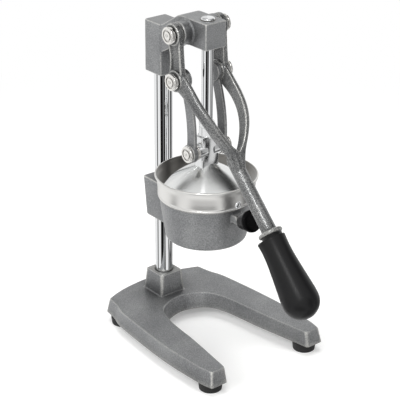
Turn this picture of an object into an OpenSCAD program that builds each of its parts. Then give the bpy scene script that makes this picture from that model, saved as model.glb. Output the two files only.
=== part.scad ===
// Lever citrus juice press, standing on its four feet.
// X is across the press, Y runs front to back with the lever at the front (-Y), Z is up.
// A "reach" is a distance forward of the column axis.

/* [Base] */
// Height of the rubber feet
foot_height = 12; // [8:0.5:16]
// Radius of a rubber foot
foot_radius = 15.2; // [11:0.1:17]
// Thickness of the cast base
base_thickness = 20.5; // [16:0.5:28]
// Half of the width of the base's upper face at its widest
base_half_width = 93.7; // [84:0.1:108]
// Reach of the two legs, from the column axis to the tips of their upper faces
base_front_reach = 207.9; // [190:0.1:236]
// How much larger the underside of the base is than its upper face, for the casting draft
base_draft_share = 1.035; // [1.01:0.005:1.06]
// Half of the width of the column socket where it meets the base
socket_half_low = 18.9; // [17:0.1:22]
// Half of the width of the column socket at its top
socket_half_high = 17; // [15.5:0.1:19]
// Height of the column socket over the base
socket_height = 29.3; // [20:0.1:40]

/* [Column] */
// Radius of the chromed column
column_radius = 11.5; // [9:0.1:13]
// Height of the column top over the ground
column_top = 397.5; // [384:0.5:402]
// Depth of the column in the base, below the base's upper face
column_depth = 9; // [6:0.5:12]

/* [Head] */
// Height of the top of the head over the ground
head_top = 428.8; // [424:0.1:440]
// Height of the guide box at the front of the head
head_box_height = 33.2; // [30:0.1:40]
// Half of the width of the guide box and of the arm behind it
head_box_half = 15.6; // [14:0.1:18]
// Reach of the front face of the guide box
head_front_reach = 103; // [98:0.5:112]
// Reach at which the sloped top of the arm becomes level
head_level_reach = 51.25; // [44:0.25:58]
// Half of the side of the clamp block round the column
head_block_half = 16.5; // [15:0.1:19]
// Height of the top of the clamp block over the ground
head_block_top = 407.4; // [404:0.1:412]
// Height of the clamp block
head_block_height = 67; // [50:1:80]
// Depth of the arm where it leaves the clamp block
head_arm_depth = 36; // [28:0.5:44]

/* [Linkage] */
// Reach of the fixed lever pivot
pivot_reach = 66.5; // [62:0.1:70]
// Height of the fixed lever pivot over the ground
pivot_height = 411.8; // [410:0.1:415]
// Reach of the pivot between the lever and the links, with the lever down
crank_reach = 71.7; // [68:0.1:76]
// Height of the pivot between the lever and the links over the ground, with the lever down
crank_height = 354.7; // [350:0.1:362]
// Reach of the plunger axis
rod_reach = 87.45; // [86:0.05:90]
// Height of the crosshead pivot over the ground with the lever down
crosshead_pivot_height = 262.8; // [260:0.1:266]
// Radius of all pivot pins
pin_radius = 5; // [4:0.1:6]
// Radius of the disc heads on the pivot pins
pin_head_radius = 10.5; // [8.5:0.1:11]
// Thickness of the disc heads
pin_head_thickness = 3.6; // [3:0.1:4.4]
// Radial running clearance of a pin in an eye
running_clearance = 0.06; // [0.03:0.01:0.1]
// Sideways gap between pieces that turn on each other
side_gap = 0.3; // [0.2:0.05:0.5]

/* [Lever] */
// Distance of the outer faces of the lever eyes from the middle
eye_outer = 38.8; // [38:0.1:42]
// Thickness of the upper lever eyes
eye_thickness = 9.6; // [8:0.1:10.5]
// Thickness of the lower lever eyes, which reach further in
crank_eye_thickness = 12.2; // [10.5:0.1:12.4]
// Radius of the lever eyes
eye_radius = 13.6; // [12:0.1:15.5]
// Reach of the middle of the collar above the grip
collar_reach = 208.7; // [200:0.1:220]
// Height of the middle of the collar above the ground
collar_height = 193.2; // [184:0.1:204]
// Radius of the collar
collar_radius = 15.4; // [13:0.1:18]
// Thickness of the collar
collar_thickness = 5; // [4:0.1:8]
// Radius of the lever shaft at the collar
shaft_radius = 9.5; // [8:0.1:11]
// Radius of the lever shaft at the fork
shaft_root_radius = 8.8; // [8:0.1:12]
// Slope of the shaft below level, in degrees
shaft_drop = 45.5; // [43:0.1:48]
// How far the middle of the grip's upper end lies in front of the collar
grip_ahead = 1.3; // [0:0.1:3]
// How far the middle of the grip's upper end lies below the collar
grip_below = 6.9; // [5:0.1:9]
// Slope of the grip below level, in degrees
grip_drop = 47.5; // [44:0.1:51]
// Length of the grip
grip_length = 105; // [95:1:120]
// Radius of the round end of the grip
grip_end_radius = 22.9; // [20:0.1:27]
// Radius of the flare at the top of the grip
grip_flare_radius = 18.4; // [17:0.1:22]
// Radius of the narrow neck of the grip
grip_neck_radius = 17.2; // [15:0.1:20]

/* [Links] */
// Distance of the inner faces of the links from the middle
link_inner = 21.8; // [21.2:0.1:22]
// Thickness of the links
link_thickness = 4.4; // [3.6:0.1:4.5]
// Width of the links between their eyes
link_width = 15.5; // [12:0.1:17]
// Radius of the upper eyes of the links
link_upper_radius = 12.2; // [11:0.1:13.5]
// Radius of the lower eyes of the links
link_lower_radius = 11.6; // [10:0.1:12.5]
// How far the links bow forward between their pivots
link_bow = 6.2; // [2:0.1:8]

/* [Plunger] */
// Radius of the plunger rod
rod_radius = 7; // [6:0.1:8]
// Half of the width of the crosshead block
crosshead_half_width = 13.3; // [12:0.1:15]
// Half of the depth of the crosshead block, front to back
crosshead_half_depth = 8.4; // [7.4:0.1:9.5]
// Height of the crosshead block's top over the ground with the lever down
crosshead_top = 282.1; // [278:0.1:288]
// Radius of the round neck on the crosshead
neck_radius = 10; // [9:0.1:11]
// Height of the neck on the crosshead
neck_height = 11; // [8:0.1:13]
// Height of the jam nut
jam_nut_height = 6.6; // [5:0.1:8]
// Height of the domed cap on top of the rod
rod_cap_height = 2.6; // [2:0.1:4]
// Radius of the domed cap on top of the rod
rod_cap_radius = 8.6; // [8:0.1:10]
// Outer radius of the press cone at its rim
cone_radius = 57; // [52:0.5:58]
// Height of the press cone's rim over the ground with the lever down
cone_rim_height = 206.2; // [205:0.1:210]
// Height from the press cone's rim to its peak
cone_rise = 41.4; // [36:0.1:46]
// Wall of the press cone
cone_wall = 2.6; // [2:0.1:4]

/* [Bowl] */
// Outer radius of the bowl's rim
bowl_rim_radius = 65; // [64:0.5:72]
// Outer radius of the bowl's band
bowl_band_radius = 61; // [60.5:0.1:66]
// Height of the bowl's rim over the ground
bowl_rim_height = 230.8; // [226:0.1:238]
// Height of the bowl's band, from the step under it to the rim
bowl_band_height = 28.4; // [24:0.1:34]
// Wall of the bowl
bowl_wall = 1.3; // [1:0.1:2]
// Outer radius of the bowl's spout
spout_radius = 12; // [9:0.1:16]
// Wall of the strainer
strainer_wall = 1.2; // [0.8:0.1:2]
// Number of juice slots round the strainer
strainer_slots = 20; // [12:1:28]
// Width of a juice slot
slot_width = 2.4; // [1.5:0.1:3.5]

/* [Cup holder] */
// Outer radius of the cup holder at its top
holder_top_radius = 59.4; // [58:0.1:60.5]
// Outer radius of the cup holder at its bottom
holder_low_radius = 52; // [48:0.1:55]
// Height of the underside of the cup holder over the ground
holder_bottom = 145.6; // [140:0.1:150]
// Wall of the cup holder
holder_wall = 4; // [3:0.1:6]
// Height of the clamp block's top over the ground
clamp_top = 196; // [190:0.5:200]
// Height of the clamp block
clamp_height = 55; // [46:0.5:64]
// Half of the width of the clamp block at its top
clamp_half_high = 19.3; // [17.5:0.1:21]
// Half of the width of the clamp block at its bottom
clamp_half_low = 16.4; // [15.5:0.1:18]
// Length of the black knob
knob_length = 21.5; // [16:0.5:30]
// Radius of the knob at its inner end
knob_inner_radius = 9.3; // [8:0.1:11]
// Radius of the knob at its outer end
knob_outer_radius = 14; // [12:0.1:17]
// How far the knob points up, in degrees
knob_rise = 24; // [10:1:30]

/* [Hidden] */

$fn = 64;
overrun = 1;
fit = 0.05;
seat_gap = 0.3;
curve_steps = 6;
corner_steps = 4;

// The chord of the lever runs from its lower eyes to the collar
lever_run = collar_reach - crank_reach;
lever_fall = crank_height - collar_height;
lever_chord = norm([lever_run, lever_fall]);
lever_slope = atan2(lever_fall, lever_run);

grip_reach = collar_reach + grip_ahead;
grip_height = collar_height - grip_below;

// The middle of the press from front to back is at Y = 0
front_reach = grip_reach + (grip_length - grip_end_radius) * cos(grip_drop) + grip_end_radius;
base_rear_share = -0.173;
base_focus_share = 0.423;
base_focus = base_focus_share * base_front_reach;
rear_reach = base_focus + (base_rear_share * base_front_reach - base_focus) * base_draft_share;
column_y = (front_reach + rear_reach) / 2;

base_top = foot_height + base_thickness;
column_bottom = base_top - column_depth;
eye_inner = eye_outer - eye_thickness;
crank_eye_inner = eye_outer - crank_eye_thickness;
link_outer = link_inner + link_thickness;
link_wall = 1;
link_eye_step = 1.6;
link_eye_inner = link_inner - link_eye_step;
pin_washer_thickness = 2.9;
pin_washer_radius = pin_head_radius * 0.92;
link_boss_height = 2.8;

// Outline shares: width shares are of base_half_width, reach shares of base_front_reach
base_outline_shares = [[0, base_rear_share], [0.148, -0.171], [0.37, -0.158], [0.569, -0.138],
    [0.76, -0.106], [0.79, -0.099], [0.806, -0.088], [0.842, 0.005], [0.902, 0.089],
    [0.94, 0.228], [0.978, 0.425], [1, 0.611], [0.994, 0.77], [0.975, 0.911], [0.946, 0.985],
    [0.935, 0.997], [0.92, 1], [0.8, 1], [0.65, 1]];
base_opening_shares = [[0, 0.149], [0.128, 0.159], [0.32, 0.197], [0.443, 0.26], [0.516, 0.37],
    [0.552, 0.48], [0.587, 0.63], [0.651, 0.818], [0.72, 1.01], [0.77, 1.15]];
opening_draft_shares = [0.935, 0.87];

// Foot places: width share of base_half_width and reach share of base_front_reach
foot_front_shares = [0.83, 0.929];
foot_rear_shares = [0.7, -0.025];

// Press cone: share of cone_radius against share of cone_rise down from the peak
cone_shares = [[0, 0], [0.06, 0.012], [0.132, 0.06], [0.275, 0.176], [0.44, 0.265],
    [0.614, 0.425], [0.79, 0.614], [0.912, 0.82], [0.98, 0.97], [1, 1]];

function spline_point(a, b, c, d, t) =
    (2 * b + (c - a) * t + (2 * a - 5 * b + 4 * c - d) * t * t
    + (3 * b - a - 3 * c + d) * t * t * t) / 2;

// Smooth curve through a list of points
function smooth(points, steps) = concat(
    [for (i = [0 : len(points) - 2]) for (k = [0 : steps - 1])
        spline_point(points[max(i - 1, 0)], points[i], points[i + 1],
            points[min(i + 2, len(points) - 1)], k / steps)],
    [points[len(points) - 1]]);

function unit(v) = v / norm(v);

// Closed outline with each corner rounded by its own size
function rounded(points, sizes, steps) = [for (i = [0 : len(points) - 1])
    let (a = points[(i + len(points) - 1) % len(points)],
        b = points[i],
        c = points[(i + 1) % len(points)],
        p = b + sizes[i] * unit(a - b),
        q = b + sizes[i] * unit(c - b))
    for (k = [0 : sizes[i] > 0 ? steps : 0])
        let (t = k / steps) p * (1 - t) * (1 - t) + b * 2 * t * (1 - t) + q * t * t];

function reversed(points) = [for (i = [len(points) - 1 : -1 : 0]) points[i]];
function mirrored(points) = [for (p = reversed(points)) [-p[0], p[1]]];
function scaled(shares, size) = [for (s = shares) [s[0] * size[0], s[1] * size[1]]];
function box_outline(half_x, y0, y1) = [[-half_x, y0], [half_x, y0], [half_x, y1], [-half_x, y1]];

// Puts an outline of reach and height points upright, spread over a stretch of X
module side_plate(x0, x1) {
    translate([x1, column_y, 0])
        rotate([90, 0, -90])
            linear_extrude(x1 - x0)
                children();
}

// A bar along X at a reach and height
module cross_bar(x0, x1, reach, height, radius) {
    translate([x0, column_y - reach, height])
        rotate([0, 90, 0])
            cylinder(h = x1 - x0, r = radius);
}

// A dished disc with a turned groove, facing away from the middle on the left
module pin_disc(x_outer, thickness, reach, height) {
    groove_radius = pin_head_radius * 0.62;
    groove_width = pin_head_radius * 0.08;
    groove_depth = thickness * 0.15;
    rim = pin_head_radius * 0.08;
    translate([-x_outer, column_y - reach, height])
        rotate([0, 90, 0])
            rotate_extrude()
                polygon([[0, 0], [groove_radius - groove_width, 0],
                    [groove_radius - groove_width, groove_depth],
                    [groove_radius + groove_width, groove_depth],
                    [groove_radius + groove_width, 0], [pin_head_radius - rim, 0],
                    [pin_head_radius, rim], [pin_head_radius, thickness], [0, thickness]]);
}

// Turns what follows to stand along the lever shaft, with the collar's middle at zero
module on_shaft() {
    translate([0, column_y - collar_reach, collar_height])
        rotate([90 + shaft_drop, 0, 0])
            children();
}

module base_plan(shares, size) {
    half = smooth(scaled(shares, size), corner_steps);
    translate([0, base_focus])
        polygon(concat(half, mirrored(half)));
}

// Extrudes a plan down from the upper face of the base, larger or smaller at the bottom
module base_extrude(top, height, draft) {
    translate([0, column_y - base_focus, top])
        mirror([0, 0, 1])
            linear_extrude(height, scale = draft, slices = 1)
                children();
}

// Base: a drafted horseshoe with the column socket on its bridge
base_floor = 5;
bolt_radius = 4;
bolt_head_radius = 7;
bolt_head_height = 5;
bolt_length = 40;
bolt_washer_radius = 9;
bolt_washer_thickness = 1.5;
screw_radius = 2.2;
screw_length = 16;
screw_head_radius = 4.6;
screw_head_height = 2.6;
bolt_recess = column_bottom - base_floor - foot_height;

function foot_place(share, side) =
    [side * share[0] * base_half_width, column_y - share[1] * base_front_reach];
foot_places = [foot_place(foot_front_shares, -1), foot_place(foot_front_shares, 1),
    foot_place(foot_rear_shares, -1), foot_place(foot_rear_shares, 1)];

module base() {
    size = [base_half_width, -base_front_reach];
    color("#8f9192")
    difference() {
        union() {
            base_extrude(base_top, base_thickness, base_draft_share)
                base_plan(base_outline_shares, size);
            translate([0, column_y, base_top - overrun])
                linear_extrude(socket_height + overrun, scale = socket_half_high / socket_half_low,
                        slices = 1)
                    polygon(rounded(box_outline(socket_half_low, -socket_half_low,
                        socket_half_low), [for (i = [0 : 3]) socket_half_low / 6], corner_steps));
        }
        base_extrude(base_top + overrun, base_thickness + 2 * overrun, opening_draft_shares)
            base_plan(base_opening_shares, size);
        translate([0, column_y, column_bottom])
            cylinder(h = column_top, r = column_radius + fit);
        translate([0, column_y, foot_height - overrun])
            cylinder(h = base_thickness, r = bolt_radius + fit);
        translate([0, column_y, foot_height - overrun])
            cylinder(h = bolt_recess + overrun, r = bolt_washer_radius + seat_gap);
        for (place = foot_places)
            translate([place[0], place[1], foot_height - overrun])
                cylinder(h = screw_length - screw_head_height + overrun, r = screw_radius + fit);
    }
}

module foot(index) {
    edge = foot_radius / 12;
    recess = screw_head_height + foot_height / 6;
    color("#1c1c1d")
    translate([foot_places[index][0], foot_places[index][1], 0])
        difference() {
            rotate_extrude()
                polygon([[0, 0], [foot_radius * 0.93 - edge, 0], [foot_radius * 0.93, edge],
                    [foot_radius, foot_height - edge], [foot_radius - edge, foot_height],
                    [0, foot_height]]);
            translate([0, 0, -overrun])
                cylinder(h = foot_height + 2 * overrun, r = screw_radius + fit);
            translate([0, 0, -overrun])
                cylinder(h = recess + overrun, r = screw_head_radius + seat_gap);
        }
}

module foot_screws() {
    seat = screw_head_height + foot_height / 6;
    color("#9a9c9e")
    for (place = foot_places)
        translate([place[0], place[1], seat - screw_head_height]) {
            cylinder(h = screw_head_height, r = screw_head_radius);
            cylinder(h = screw_length - screw_head_height, r = screw_radius);
        }
}

// Column, bolted up through the base
module column() {
    edge = column_radius / 12;
    color("#e4e6e8")
    translate([0, column_y, 0])
        difference() {
            rotate_extrude()
                polygon([[0, column_bottom], [column_radius - edge, column_bottom],
                    [column_radius, column_bottom + edge], [column_radius, column_top - edge],
                    [column_radius - edge, column_top], [0, column_top]]);
            translate([0, 0, column_bottom - overrun])
                cylinder(h = bolt_length, r = bolt_radius + fit);
        }
}

module column_washer() {
    color("#9a9c9e")
    translate([0, column_y, foot_height + bolt_recess - bolt_washer_thickness])
        difference() {
            cylinder(h = bolt_washer_thickness, r = bolt_washer_radius);
            translate([0, 0, -overrun])
                cylinder(h = bolt_washer_thickness + 2 * overrun, r = bolt_radius + fit);
        }
}

module column_bolt() {
    top = foot_height + bolt_recess - bolt_washer_thickness;
    color("#9a9c9e")
    translate([0, column_y, top - bolt_head_height]) {
        cylinder(h = bolt_head_height, r = bolt_head_radius, $fn = 6);
        cylinder(h = bolt_length, r = bolt_radius);
    }
}

// Head: clamp block, rising arm and guide box in one casting
head_box_bottom = head_top - head_box_height;
head_slope = (head_top - head_block_top) / (head_level_reach - head_block_half);
head_arm_foot = head_block_top - head_arm_depth;
head_arm_end = head_block_half + (head_box_bottom - head_arm_foot) / head_slope;
head_boss_radius = 14;
head_boss_end = eye_inner - side_gap;
head_edge = 2.6;
bush_wall = 2;
bush_length = head_box_height * 0.4;
bush_radius = rod_radius + running_clearance + bush_wall;
set_screw_radius = 3;
set_screw_length = head_block_half - column_radius - running_clearance;
head_pin_depth = 11;

module head_profile() {
    points = [[-head_block_half, head_block_top - head_block_height],
        [head_block_half, head_block_top - head_block_height],
        [head_block_half, head_arm_foot], [head_arm_end, head_box_bottom],
        [head_front_reach, head_box_bottom], [head_front_reach, head_top],
        [head_level_reach, head_top], [head_block_half, head_block_top],
        [-head_block_half, head_block_top]];
    edges = [head_edge, head_edge / 2, 3 * head_edge, 2 * head_edge, head_edge,
        head_edge, 2 * head_edge, 2 * head_edge, head_edge];
    polygon(rounded(points, edges, corner_steps));
}

module head_plan(half_x, reach) {
    polygon(rounded(box_outline(half_x, -reach, head_block_half),
        [for (i = [0 : 3]) head_edge], corner_steps));
}

module head() {
    bottom = head_block_top - head_block_height;
    color("#8f9192")
    difference() {
        union() {
            intersection() {
                side_plate(-head_block_half, head_block_half)
                    head_profile();
                translate([0, column_y, bottom - overrun])
                    linear_extrude(head_top)
                        union() {
                            head_plan(head_block_half, head_block_half);
                            head_plan(head_box_half, head_front_reach);
                        }
            }
            cross_bar(-head_boss_end, head_boss_end, pivot_reach, pivot_height,
                head_boss_radius);
        }
        translate([0, column_y, bottom - overrun])
            cylinder(h = column_top - bottom + overrun + seat_gap, r = column_radius + fit);
        translate([0, column_y - rod_reach, head_box_bottom - overrun])
            cylinder(h = head_box_height + 2 * overrun, r = bush_radius + fit);
        for (side = [0, 1])
            mirror([side, 0, 0])
                cross_bar(-head_boss_end - overrun, -head_boss_end + head_pin_depth, pivot_reach,
                    pivot_height, pin_radius + fit);
        for (place = set_screw_heights(head_block_top, head_block_height))
            translate([0, column_y, place])
                rotate([-90, 0, 0])
                    cylinder(h = head_block_half + overrun, r = set_screw_radius + fit);
    }
}

function set_screw_heights(top, height) = [top - height * 0.25, top - height * 0.75];

module set_screws(top, height) {
    socket_depth = set_screw_radius;
    color("#6f7173")
    for (place = set_screw_heights(top, height))
        translate([0, column_y + column_radius + running_clearance, place])
            rotate([-90, 0, 0])
                difference() {
                    cylinder(h = set_screw_length, r = set_screw_radius);
                    translate([0, 0, set_screw_length - socket_depth])
                        cylinder(h = socket_depth + overrun, r = set_screw_radius * 0.55,
                            $fn = 6);
                }
}

module head_set_screws() {
    set_screws(head_block_top, head_block_height);
}

module guide_bush(bottom) {
    color("#c9a55c")
    translate([0, column_y - rod_reach, bottom])
        difference() {
            cylinder(h = bush_length, r = bush_radius);
            translate([0, 0, -overrun])
                cylinder(h = bush_length + 2 * overrun, r = rod_radius + running_clearance);
        }
}

module guide_bush_upper() {
    guide_bush(head_top - bush_length);
}

module guide_bush_lower() {
    guide_bush(head_box_bottom);
}

// Fixed pins of the lever: shank screwed in the boss, collar and disc outside the eye
module head_pin_left() {
    outer = eye_outer + side_gap + pin_washer_thickness + pin_head_thickness;
    color("#dfe1e3")
    union() {
        pin_disc(outer, pin_head_thickness, pivot_reach, pivot_height);
        cross_bar(-outer + pin_head_thickness / 2, -head_boss_end + head_pin_depth - overrun,
            pivot_reach, pivot_height, pin_radius);
    }
}

module head_pin_right() {
    mirror([1, 0, 0])
        head_pin_left();
}

module pin_washer(x_outer, thickness, reach, height, radius) {
    color("#c4c7ca")
    difference() {
        cross_bar(-x_outer, -x_outer + thickness, reach, height, radius);
        cross_bar(-x_outer - overrun, -x_outer + thickness + overrun, reach, height,
            pin_radius + fit);
    }
}

module head_washers() {
    for (side = [0, 1])
        mirror([side, 0, 0])
            pin_washer(eye_outer + side_gap + pin_washer_thickness, pin_washer_thickness,
                pivot_reach, pivot_height, pin_washer_radius);
}

// Cup holder: a pot cast in one with its clamp block and the lug for the knob
holder_top = bowl_rim_height - bowl_band_height - seat_gap;
holder_corner = 7;
holder_outlet_gap = 2;
holder_outlet_radius = spout_radius + holder_outlet_gap;
lug_half = 7.5;
lug_height = 11;
knob_distance = 69.6;
knob_drop = 7.3;
knob_reach = rod_reach + knob_distance;
knob_height = clamp_top - knob_drop;
knob_stud_radius = 2.5;
knob_stud_length = 22;

function holder_radius(height) = holder_low_radius + (holder_top_radius - holder_low_radius)
    * (height - holder_bottom - holder_corner) / (holder_top - holder_bottom - holder_corner);

module holder_clamp() {
    clamp_bottom = clamp_top - clamp_height;
    run = rod_reach - holder_low_radius / 2;
    hull() {
        translate([0, column_y, clamp_top - fit])
            linear_extrude(fit)
                polygon(rounded(box_outline(clamp_half_high, -run, clamp_half_high),
                    [for (i = [0 : 3]) clamp_half_high / 8], corner_steps));
        translate([0, column_y, clamp_bottom])
            linear_extrude(fit)
                polygon(rounded(box_outline(clamp_half_low, -run, clamp_half_low),
                    [for (i = [0 : 3]) clamp_half_low / 8], corner_steps));
    }
}

module holder_shell(shrink, floor) {
    corner = holder_corner - shrink / 2;
    low = holder_radius(floor + corner) - shrink;
    high = holder_top_radius - shrink;
    rotate_extrude()
        polygon(concat([[0, floor]],
            [for (k = [0 : curve_steps]) let (t = k / curve_steps)
                [low - corner * (1 - t) * (1 - t), floor + corner * t * t]],
            [[high, holder_top], [0, holder_top]]));
}

module cup_holder() {
    lug_bottom = knob_height - lug_height * 0.28;
    lug_top = lug_bottom + lug_height;
    lean = tan(knob_rise);
    face_low = knob_reach + (knob_height - lug_bottom) * lean - fit;
    face_high = knob_reach - (lug_top - knob_height) * lean - fit;
    color("#8b8d8f")
    difference() {
        union() {
            translate([0, column_y - rod_reach, 0])
                holder_shell(0, holder_bottom);
            difference() {
                holder_clamp();
                translate([0, column_y - rod_reach, holder_bottom])
                    cylinder(h = clamp_top, r = holder_low_radius - holder_wall);
            }
            side_plate(-lug_half, lug_half)
                polygon([[rod_reach, lug_bottom], [face_low, lug_bottom],
                    [face_high, lug_top], [rod_reach, lug_top]]);
        }
        translate([0, column_y - rod_reach, 0])
            intersection() {
                holder_shell(holder_wall, holder_bottom + holder_wall);
                cylinder(h = holder_top + overrun, r = holder_top_radius);
            }
        translate([0, column_y - rod_reach, holder_top - fit])
            cylinder(h = overrun, r = holder_top_radius - holder_wall);
        translate([0, column_y - rod_reach, holder_bottom - overrun])
            cylinder(h = holder_wall + 2 * overrun, r = holder_outlet_radius);
        translate([0, column_y, clamp_top - clamp_height - overrun])
            cylinder(h = clamp_height + 2 * overrun, r = column_radius + fit);
        for (place = set_screw_heights(clamp_top, clamp_height))
            translate([0, column_y, place])
                rotate([-90, 0, 0])
                    cylinder(h = clamp_half_high + overrun, r = set_screw_radius + fit);
        on_knob()
            translate([0, 0, -knob_stud_length / 2])
                cylinder(h = knob_stud_length / 2 + overrun, r = knob_stud_radius + fit);
    }
}

module holder_set_screws() {
    set_screws(clamp_top, clamp_height);
}

// Turns what follows to stand along the knob, with the knob's inner end at zero
module on_knob() {
    translate([0, column_y - knob_reach, knob_height])
        rotate([90 - knob_rise, 0, 0])
            children();
}

module knob() {
    bulge = knob_outer_radius / 14;
    edge = knob_outer_radius / 6;
    color("#1b1b1c")
    on_knob()
        difference() {
            rotate_extrude()
                polygon(concat([[0, 0]], smooth([[knob_inner_radius, 0],
                    [(knob_inner_radius + knob_outer_radius) / 2 + bulge / 2, knob_length * 0.4],
                    [knob_outer_radius, knob_length - edge],
                    [knob_outer_radius - edge * 0.4, knob_length - edge * 0.2],
                    [knob_outer_radius - edge * 1.4, knob_length]], corner_steps),
                    [[0, knob_length]]));
            translate([0, 0, -overrun])
                cylinder(h = knob_stud_length / 2 + overrun + fit, r = knob_stud_radius + fit);
        }
}

module knob_stud() {
    color("#9a9c9e")
    on_knob()
        translate([0, 0, -knob_stud_length / 2])
            cylinder(h = knob_stud_length, r = knob_stud_radius);
}

// Bowl: rolled rim, tall band, step on the cup holder, funnel and spout
bowl_step = bowl_rim_height - bowl_band_height;
bowl_body_radius = holder_top_radius - holder_wall - seat_gap * 2;
bowl_shoulder = bowl_step - bowl_band_height;
bowl_shoulder_radius = holder_radius(bowl_shoulder) - holder_wall - seat_gap;
bowl_rivet_radius = 4.6;
bowl_rivet_rise = 6;

module juice_bowl() {
    lip = bowl_rim_radius - bowl_band_radius;
    funnel_top = bowl_shoulder - holder_corner / 2;
    funnel_low = holder_bottom + holder_wall * 3;
    outside = [[bowl_band_radius, bowl_step], [bowl_band_radius, bowl_step + bowl_band_height / 3],
        [bowl_band_radius + lip * 0.2, bowl_rim_height - bowl_band_height * 0.32],
        [bowl_band_radius + lip * 0.5, bowl_rim_height - bowl_band_height * 0.14],
        [bowl_rim_radius - bowl_wall * 0.4, bowl_rim_height - bowl_wall * 1.9]];
    color("#d9dad8")
    translate([0, column_y - rod_reach, 0])
        difference() {
            rotate_extrude($fn = 96)
                polygon(concat([[spout_radius, holder_bottom + overrun / 2],
                    [spout_radius, funnel_low], [bowl_shoulder_radius - holder_corner, funnel_top],
                    [bowl_shoulder_radius, bowl_shoulder], [bowl_body_radius, bowl_step]],
                    smooth(outside, corner_steps),
                    [[bowl_rim_radius, bowl_rim_height - bowl_wall],
                    [bowl_rim_radius - bowl_wall * 0.3, bowl_rim_height - bowl_wall * 0.3],
                    [bowl_rim_radius - bowl_wall, bowl_rim_height],
                    [bowl_rim_radius - bowl_wall * 2, bowl_rim_height]],
                    reversed([for (p = smooth(outside, corner_steps))
                        [p[0] - bowl_wall, max(p[1], bowl_step + bowl_wall)]]),
                    [[bowl_body_radius - bowl_wall, bowl_step + bowl_wall],
                    [bowl_shoulder_radius - bowl_wall, bowl_shoulder],
                    [bowl_shoulder_radius - bowl_wall - holder_corner, funnel_top + bowl_wall],
                    [spout_radius - bowl_wall, funnel_low + bowl_wall],
                    [spout_radius - bowl_wall, holder_bottom + overrun / 2]]));
            translate([0, -bowl_band_radius - overrun, bowl_step + bowl_rivet_rise])
                rotate([-90, 0, 0])
                    cylinder(h = bowl_wall + 2 * overrun, r = bowl_rivet_radius / 2 + fit);
        }
}

module bowl_rivet() {
    dome = bowl_rivet_radius * 0.45;
    tail = bowl_rivet_radius * 0.3;
    tail_radius = bowl_rivet_radius * 0.75;
    inside = bowl_band_radius - bowl_wall;
    seat = bowl_wall + 4 * fit + inside - sqrt(pow(inside, 2) - pow(tail_radius, 2));
    color("#e4e6e8")
    translate([0, column_y - rod_reach - bowl_band_radius, bowl_step + bowl_rivet_rise])
        rotate([90, 0, 0])
            rotate_extrude()
                polygon(concat([[0, -seat - tail], [tail_radius, -seat - tail],
                    [tail_radius, -seat], [bowl_rivet_radius / 2, -seat],
                    [bowl_rivet_radius / 2, fit]],
                    [for (k = [0 : curve_steps]) let (a = 90 * k / curve_steps)
                        [bowl_rivet_radius * cos(a), 4 * fit + dome * sin(a)]]));
}

// Strainer: a slotted dome under the press cone, with its rim on the bowl's step
strainer_rim = bowl_step + bowl_wall;
strainer_edge = bowl_band_radius - bowl_wall - seat_gap * 2;
strainer_root = cone_radius * 0.88;
strainer_rise = cone_rise * 0.6;
strainer_shares = [[0, 1], [0.2, 0.99], [0.36, 0.94], [0.5, 0.86], [0.7, 0.62], [0.9, 0.26], [1, 0]];

module strainer() {
    top = strainer_rim + strainer_wall;
    outside = [for (s = reversed(strainer_shares)) [s[0] * strainer_root, top + s[1] * strainer_rise]];
    slot_start = strainer_root * 0.42;
    slot_length = strainer_root * 0.46;
    color("#c9cbcc")
    translate([0, column_y - rod_reach, 0])
        difference() {
            rotate_extrude()
                polygon(concat([[strainer_edge, strainer_rim], [strainer_edge, top]],
                    smooth(outside, corner_steps),
                    [for (s = strainer_shares)
                        [s[0] * (strainer_root - strainer_wall),
                        strainer_rim + s[1] * (strainer_rise - strainer_wall * 0.4)]]));
            for (i = [0 : strainer_slots - 1])
                rotate([0, 0, i * 360 / strainer_slots])
                    translate([slot_start, -slot_width / 2, strainer_rim])
                        cube([slot_length, slot_width, strainer_rise + overrun]);
        }
}

// Lever: two eyed bars that bow round the plunger, join in a fork and end in a shaft and collar
bar_inset = 3;
bar_recess = 1;
bar_rim = 3.6;
shaft_root_share = 0.47;

// Middle line and half depth of an arm along the lever, all as shares of lever_chord
arm_side_shares = [[0.05, 0.014, 0.056], [0.138, 0.038, 0.041], [0.233, 0.053, 0.036],
    [0.3, 0.056, 0.036], [0.361, 0.05, 0.036], [0.423, 0.037, 0.037], [0.485, 0.021, 0.036],
    [0.537, 0.004, 0.036], [0.6, -0.02, 0.034], [0.66, -0.03, 0.026]];
// Outer and inner edges of an arm: share of lever_chord against share of eye_outer
arm_outer_shares = [[0, 0.985], [0.1, 0.985], [0.17, 0.98], [0.238, 0.94], [0.304, 0.86],
    [0.366, 0.745], [0.428, 0.58], [0.49, 0.39], [0.545, 0.27], [0.6, 0.2], [0.66, 0.14]];
arm_inner_shares = [[0, 0.8], [0.1, 0.81], [0.17, 0.81], [0.238, 0.77], [0.304, 0.69],
    [0.366, 0.57], [0.428, 0.4], [0.476, 0.22], [0.508, 0.02]];

module on_chord() {
    translate([0, column_y - crank_reach, crank_height])
        rotate([lever_slope, 0, 0])
            rotate([0, 0, -90])
                children();
}

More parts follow.
